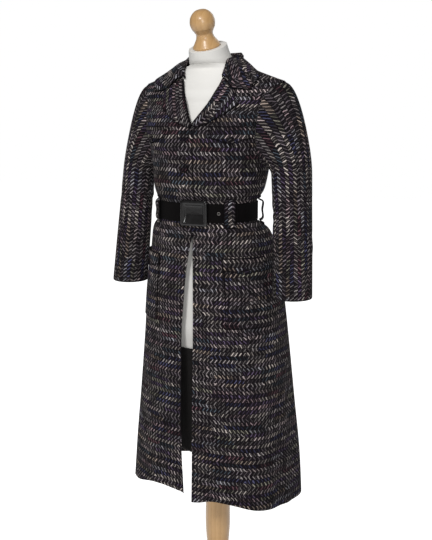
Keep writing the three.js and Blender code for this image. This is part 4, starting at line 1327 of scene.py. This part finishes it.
def form_point(z, deg):
    def plate(p):
        return np.concatenate([np.clip(p[..., :1], -ARM_PLATE_X, ARM_PLATE_X), p[..., 1:]], axis=-1)
    top = FORM[-1]["z"]
    z, deg = np.broadcast_arrays(np.asarray(z, float), np.asarray(deg, float))
    above = np.stack([0 * z, 0 * z, np.maximum(z - top, 0)], axis=-1)
    low = plate(section_point(FORM, np.minimum(z, top), deg) + above)
    gap = lerp(5, SEAT_GAP, np.abs(np.sin(np.radians(deg))) ** 6)
    seat = plate(on_coat(z + SEAT_DROP, deg, -CLOTH - gap)[0])
    return low + (seat - low) * smooth(z, top, FORM_SEAT_Z)[..., None]


def neck_ring(row, turn):
    lean = np.radians(row["tilt"])
    x, y = row["radius"] * np.sin(turn), -row["radius"] * np.cos(turn)
    return np.stack([x, row["y"] + y * math.cos(lean), row["z"] + y * math.sin(lean)], axis=-1)


def dress_form():
    steps = 96
    turn = 360 * np.arange(steps) / steps
    heights = np.concatenate([[742.0, 742.6, 744.5, 748], np.arange(752, 1429, 5.2)])
    rings = [form_point(z, deg_of_turn(z + SEAT_DROP, turn)) for z in heights]
    middle = rings[0].mean(axis=0)
    for k, share in enumerate((0.970, 0.985, 0.996)):
        rings[k] = middle + (rings[k] - middle) * np.array([share, share, 1])
    table = [dict(t=k, **row) for k, row in enumerate(FORM_NECK)]
    for t in np.linspace(0, len(FORM_NECK) - 1, 60):
        row = {name: float(column(table, name, t, "t")) for name in ("z", "radius", "y", "tilt")}
        row["radius"] -= NECK_SEAM_DEPTH * math.exp(-((t - NECK_SEAM_AT) / 0.06) ** 2)
        rings.append(neck_ring(row, np.radians(turn)))
    top = dict(FORM_NECK[-1])
    for less, rise in ((0.8, 0.35), (2.2, 0.5), (20, 0.5)):
        rings.append(neck_ring(dict(top, radius=top["radius"] - less, z=top["z"] + rise), np.radians(turn)))
    loft("form_body_jersey", rings, WHITE_JERSEY, "form_body")
    heights = np.concatenate([[452.0, 452.8, 454.5, 457.5], np.arange(462, 738, 6.0), [739, 740.6, 741.3]])
    rings = [section_point(LOWER_FORM, z, turn) for z in heights]
    middle = np.array([0, -6.0, 0])
    for k, share in ((0, 0.93), (1, 0.965), (2, 0.985), (-2, 0.992), (-1, 0.975)):
        rings[k] = rings[k] * np.array([share, share, 1]) + middle * (1 - share)
    loft("form_lower_jersey", rings, BLACK_JERSEY, "form_lower")


def turned(name, rows, steps, place, tilt, node, count):
    """Turned wood from a profile of heights and radii, its curve smoothed between them."""
    table = [dict(t=k, **row) for k, row in enumerate(rows)]
    t = np.linspace(0, len(rows) - 1, count)
    profile = list(zip(column(table, "r", t, "t"), column(table, "h", t, "t")))
    lean = math.radians(tilt)
    axis = np.array([0.0, -math.sin(lean), math.cos(lean)])
    loft(name, lathe_rings(profile, steps, np.array(place, float), axis), WOOD, node)


def stand():
    cap = FORM_NECK[-1]
    seat = (0, cap["y"] - KNOB_FORWARD, cap["z"] - KNOB_DROP)
    turned("neck_knob_wood", KNOB, 64, seat, NECK_CAP_TILT, "neck_knob", 90)
    turned("stand_pole_wood", STAND, 64, (0, 0, BASE_HEIGHT + SEAM), 0, "stand_pole", 120)
    turned("stand_base_wood", BASE, 128, (0, 0, 0), 0, "stand_base", 40)


# Camera, floor and light

CAMERA_DISTANCE = 1900          # level distance from the coat's upright axis
CAMERA_TURN = 28                # degrees round to the wearer's left
CAMERA_HEIGHT = 1300
CAMERA_DOWN = 11.2
CAMERA_ASIDE = -5.1
FOCAL_PIXELS = 745
FRAME_LONG_PIXELS = 540
SENSOR = 36


def camera():
    turn, down = math.radians(CAMERA_TURN), math.radians(CAMERA_DOWN)
    right = Vector((math.cos(turn), math.sin(turn), 0))
    ahead = Vector((-math.sin(turn), math.cos(turn), 0))
    data = bpy.data.cameras.new("camera")
    data.sensor_width = SENSOR
    data.lens = SENSOR * FOCAL_PIXELS / FRAME_LONG_PIXELS
    eye = bpy.data.objects.new("camera", data)
    eye.location = (right * CAMERA_ASIDE - ahead * CAMERA_DISTANCE + Vector((0, 0, CAMERA_HEIGHT))) / 1000
    looking = ahead * math.cos(down) - Vector((0, 0, math.sin(down)))
    eye.rotation_euler = looking.to_track_quat("-Z", "Y").to_euler()
    bpy.context.collection.objects.link(eye)
    bpy.context.scene.camera = eye


def area_light(name, place, aim, size, watts):
    data = bpy.data.lights.new(name, "AREA")
    data.shape = "DISK"
    data.size = size
    data.energy = watts
    lamp = bpy.data.objects.new(name, data)
    lamp.location = place
    lamp.rotation_euler = (Vector(aim) - Vector(place)).to_track_quat("-Z", "Y").to_euler()
    bpy.context.collection.objects.link(lamp)


def pale(name, color, glow):
    w = Wires(name)
    w.settle(roughness=0.9, specular_ior_level=0.1, emission_strength=glow)
    w.shader.inputs["Base Color"].default_value = color
    w.shader.inputs["Emission Color"].default_value = (1, 1, 1, 1)
    return w.material


def backdrop():
    """White dome round the stage. Only the camera sees it, so it gives no light."""
    bpy.ops.mesh.primitive_uv_sphere_add(segments=64, ring_count=32, radius=16)
    dome = bpy.context.object
    dome.name = "backdrop"
    dome.data.materials.append(pale("backdrop", (0, 0, 0, 1), 1.0))
    for ray in ("visible_diffuse", "visible_glossy", "visible_transmission", "visible_shadow"):
        setattr(dome, ray, False)


def studio():
    reach = 11.0
    mesh = bpy.data.meshes.new("floor")
    mesh.from_pydata([(-reach, -reach, -0.0005), (reach, -reach, -0.0005), (reach, reach, -0.0005),
                      (-reach, reach, -0.0005)], [], [(0, 1, 2, 3)])
    mesh.materials.append(pale("floor", (0.9, 0.9, 0.9, 1), 0.96))
    floor = bpy.data.objects.new("floor", mesh)
    floor.visible_diffuse = False
    bpy.context.collection.objects.link(floor)
    backdrop()
    area_light("key", (0.4, -3.5, 3.3), (0, 0, 1.0), 0.9, 96)
    area_light("fill", (2.0, -3.3, 1.5), (0, 0, 1.0), 1.0, 44)
    area_light("back", (0.5, 2.6, 2.4), (0, 0, 1.0), 2.0, 12)
    world = bpy.data.worlds.new("studio")
    world.use_nodes = True
    world.node_tree.nodes["Background"].inputs["Color"].default_value = (1, 1, 1, 1)
    world.node_tree.nodes["Background"].inputs["Strength"].default_value = 0.22
    bpy.context.scene.world = world
    bpy.context.scene.view_settings.view_transform = "Standard"


dress_form()
stand()
for side, mirror in (("left", 1), ("right", -1)):
    front_panel(side, mirror)
    side_panel(side, mirror)
    sleeve(side, mirror)
    lapel(side, mirror)
back_panel()
collar()
for side, mirror in (("left", 1), ("right", -1)):
    flap(f"chest_flap_{side}", f"chest_button_{side}", mirror, CHEST_FLAP, ON_COAT)
    laid_piece(f"pocket_{side}", mirror, HIP_POCKET, ON_COAT)
    flap(f"pocket_flap_{side}", f"pocket_button_{side}", mirror, HIP_FLAP, ON_PIECE)
for count, z in enumerate((1264, 1196), 1):
    button(f"front_button_{count}", float(z), -0.5, ON_COAT + BUTTON_SINK, FRONT_BUTTON_RADIUS)
belt()
eyelet()
buckle()
for name, deg, slack in (("front", 52, 0.8), ("side", 105, 6.5)):
    carrier(f"carrier_{name}_left", deg, slack)
    carrier(f"carrier_{name}_right", -deg, slack)
camera()
studio()
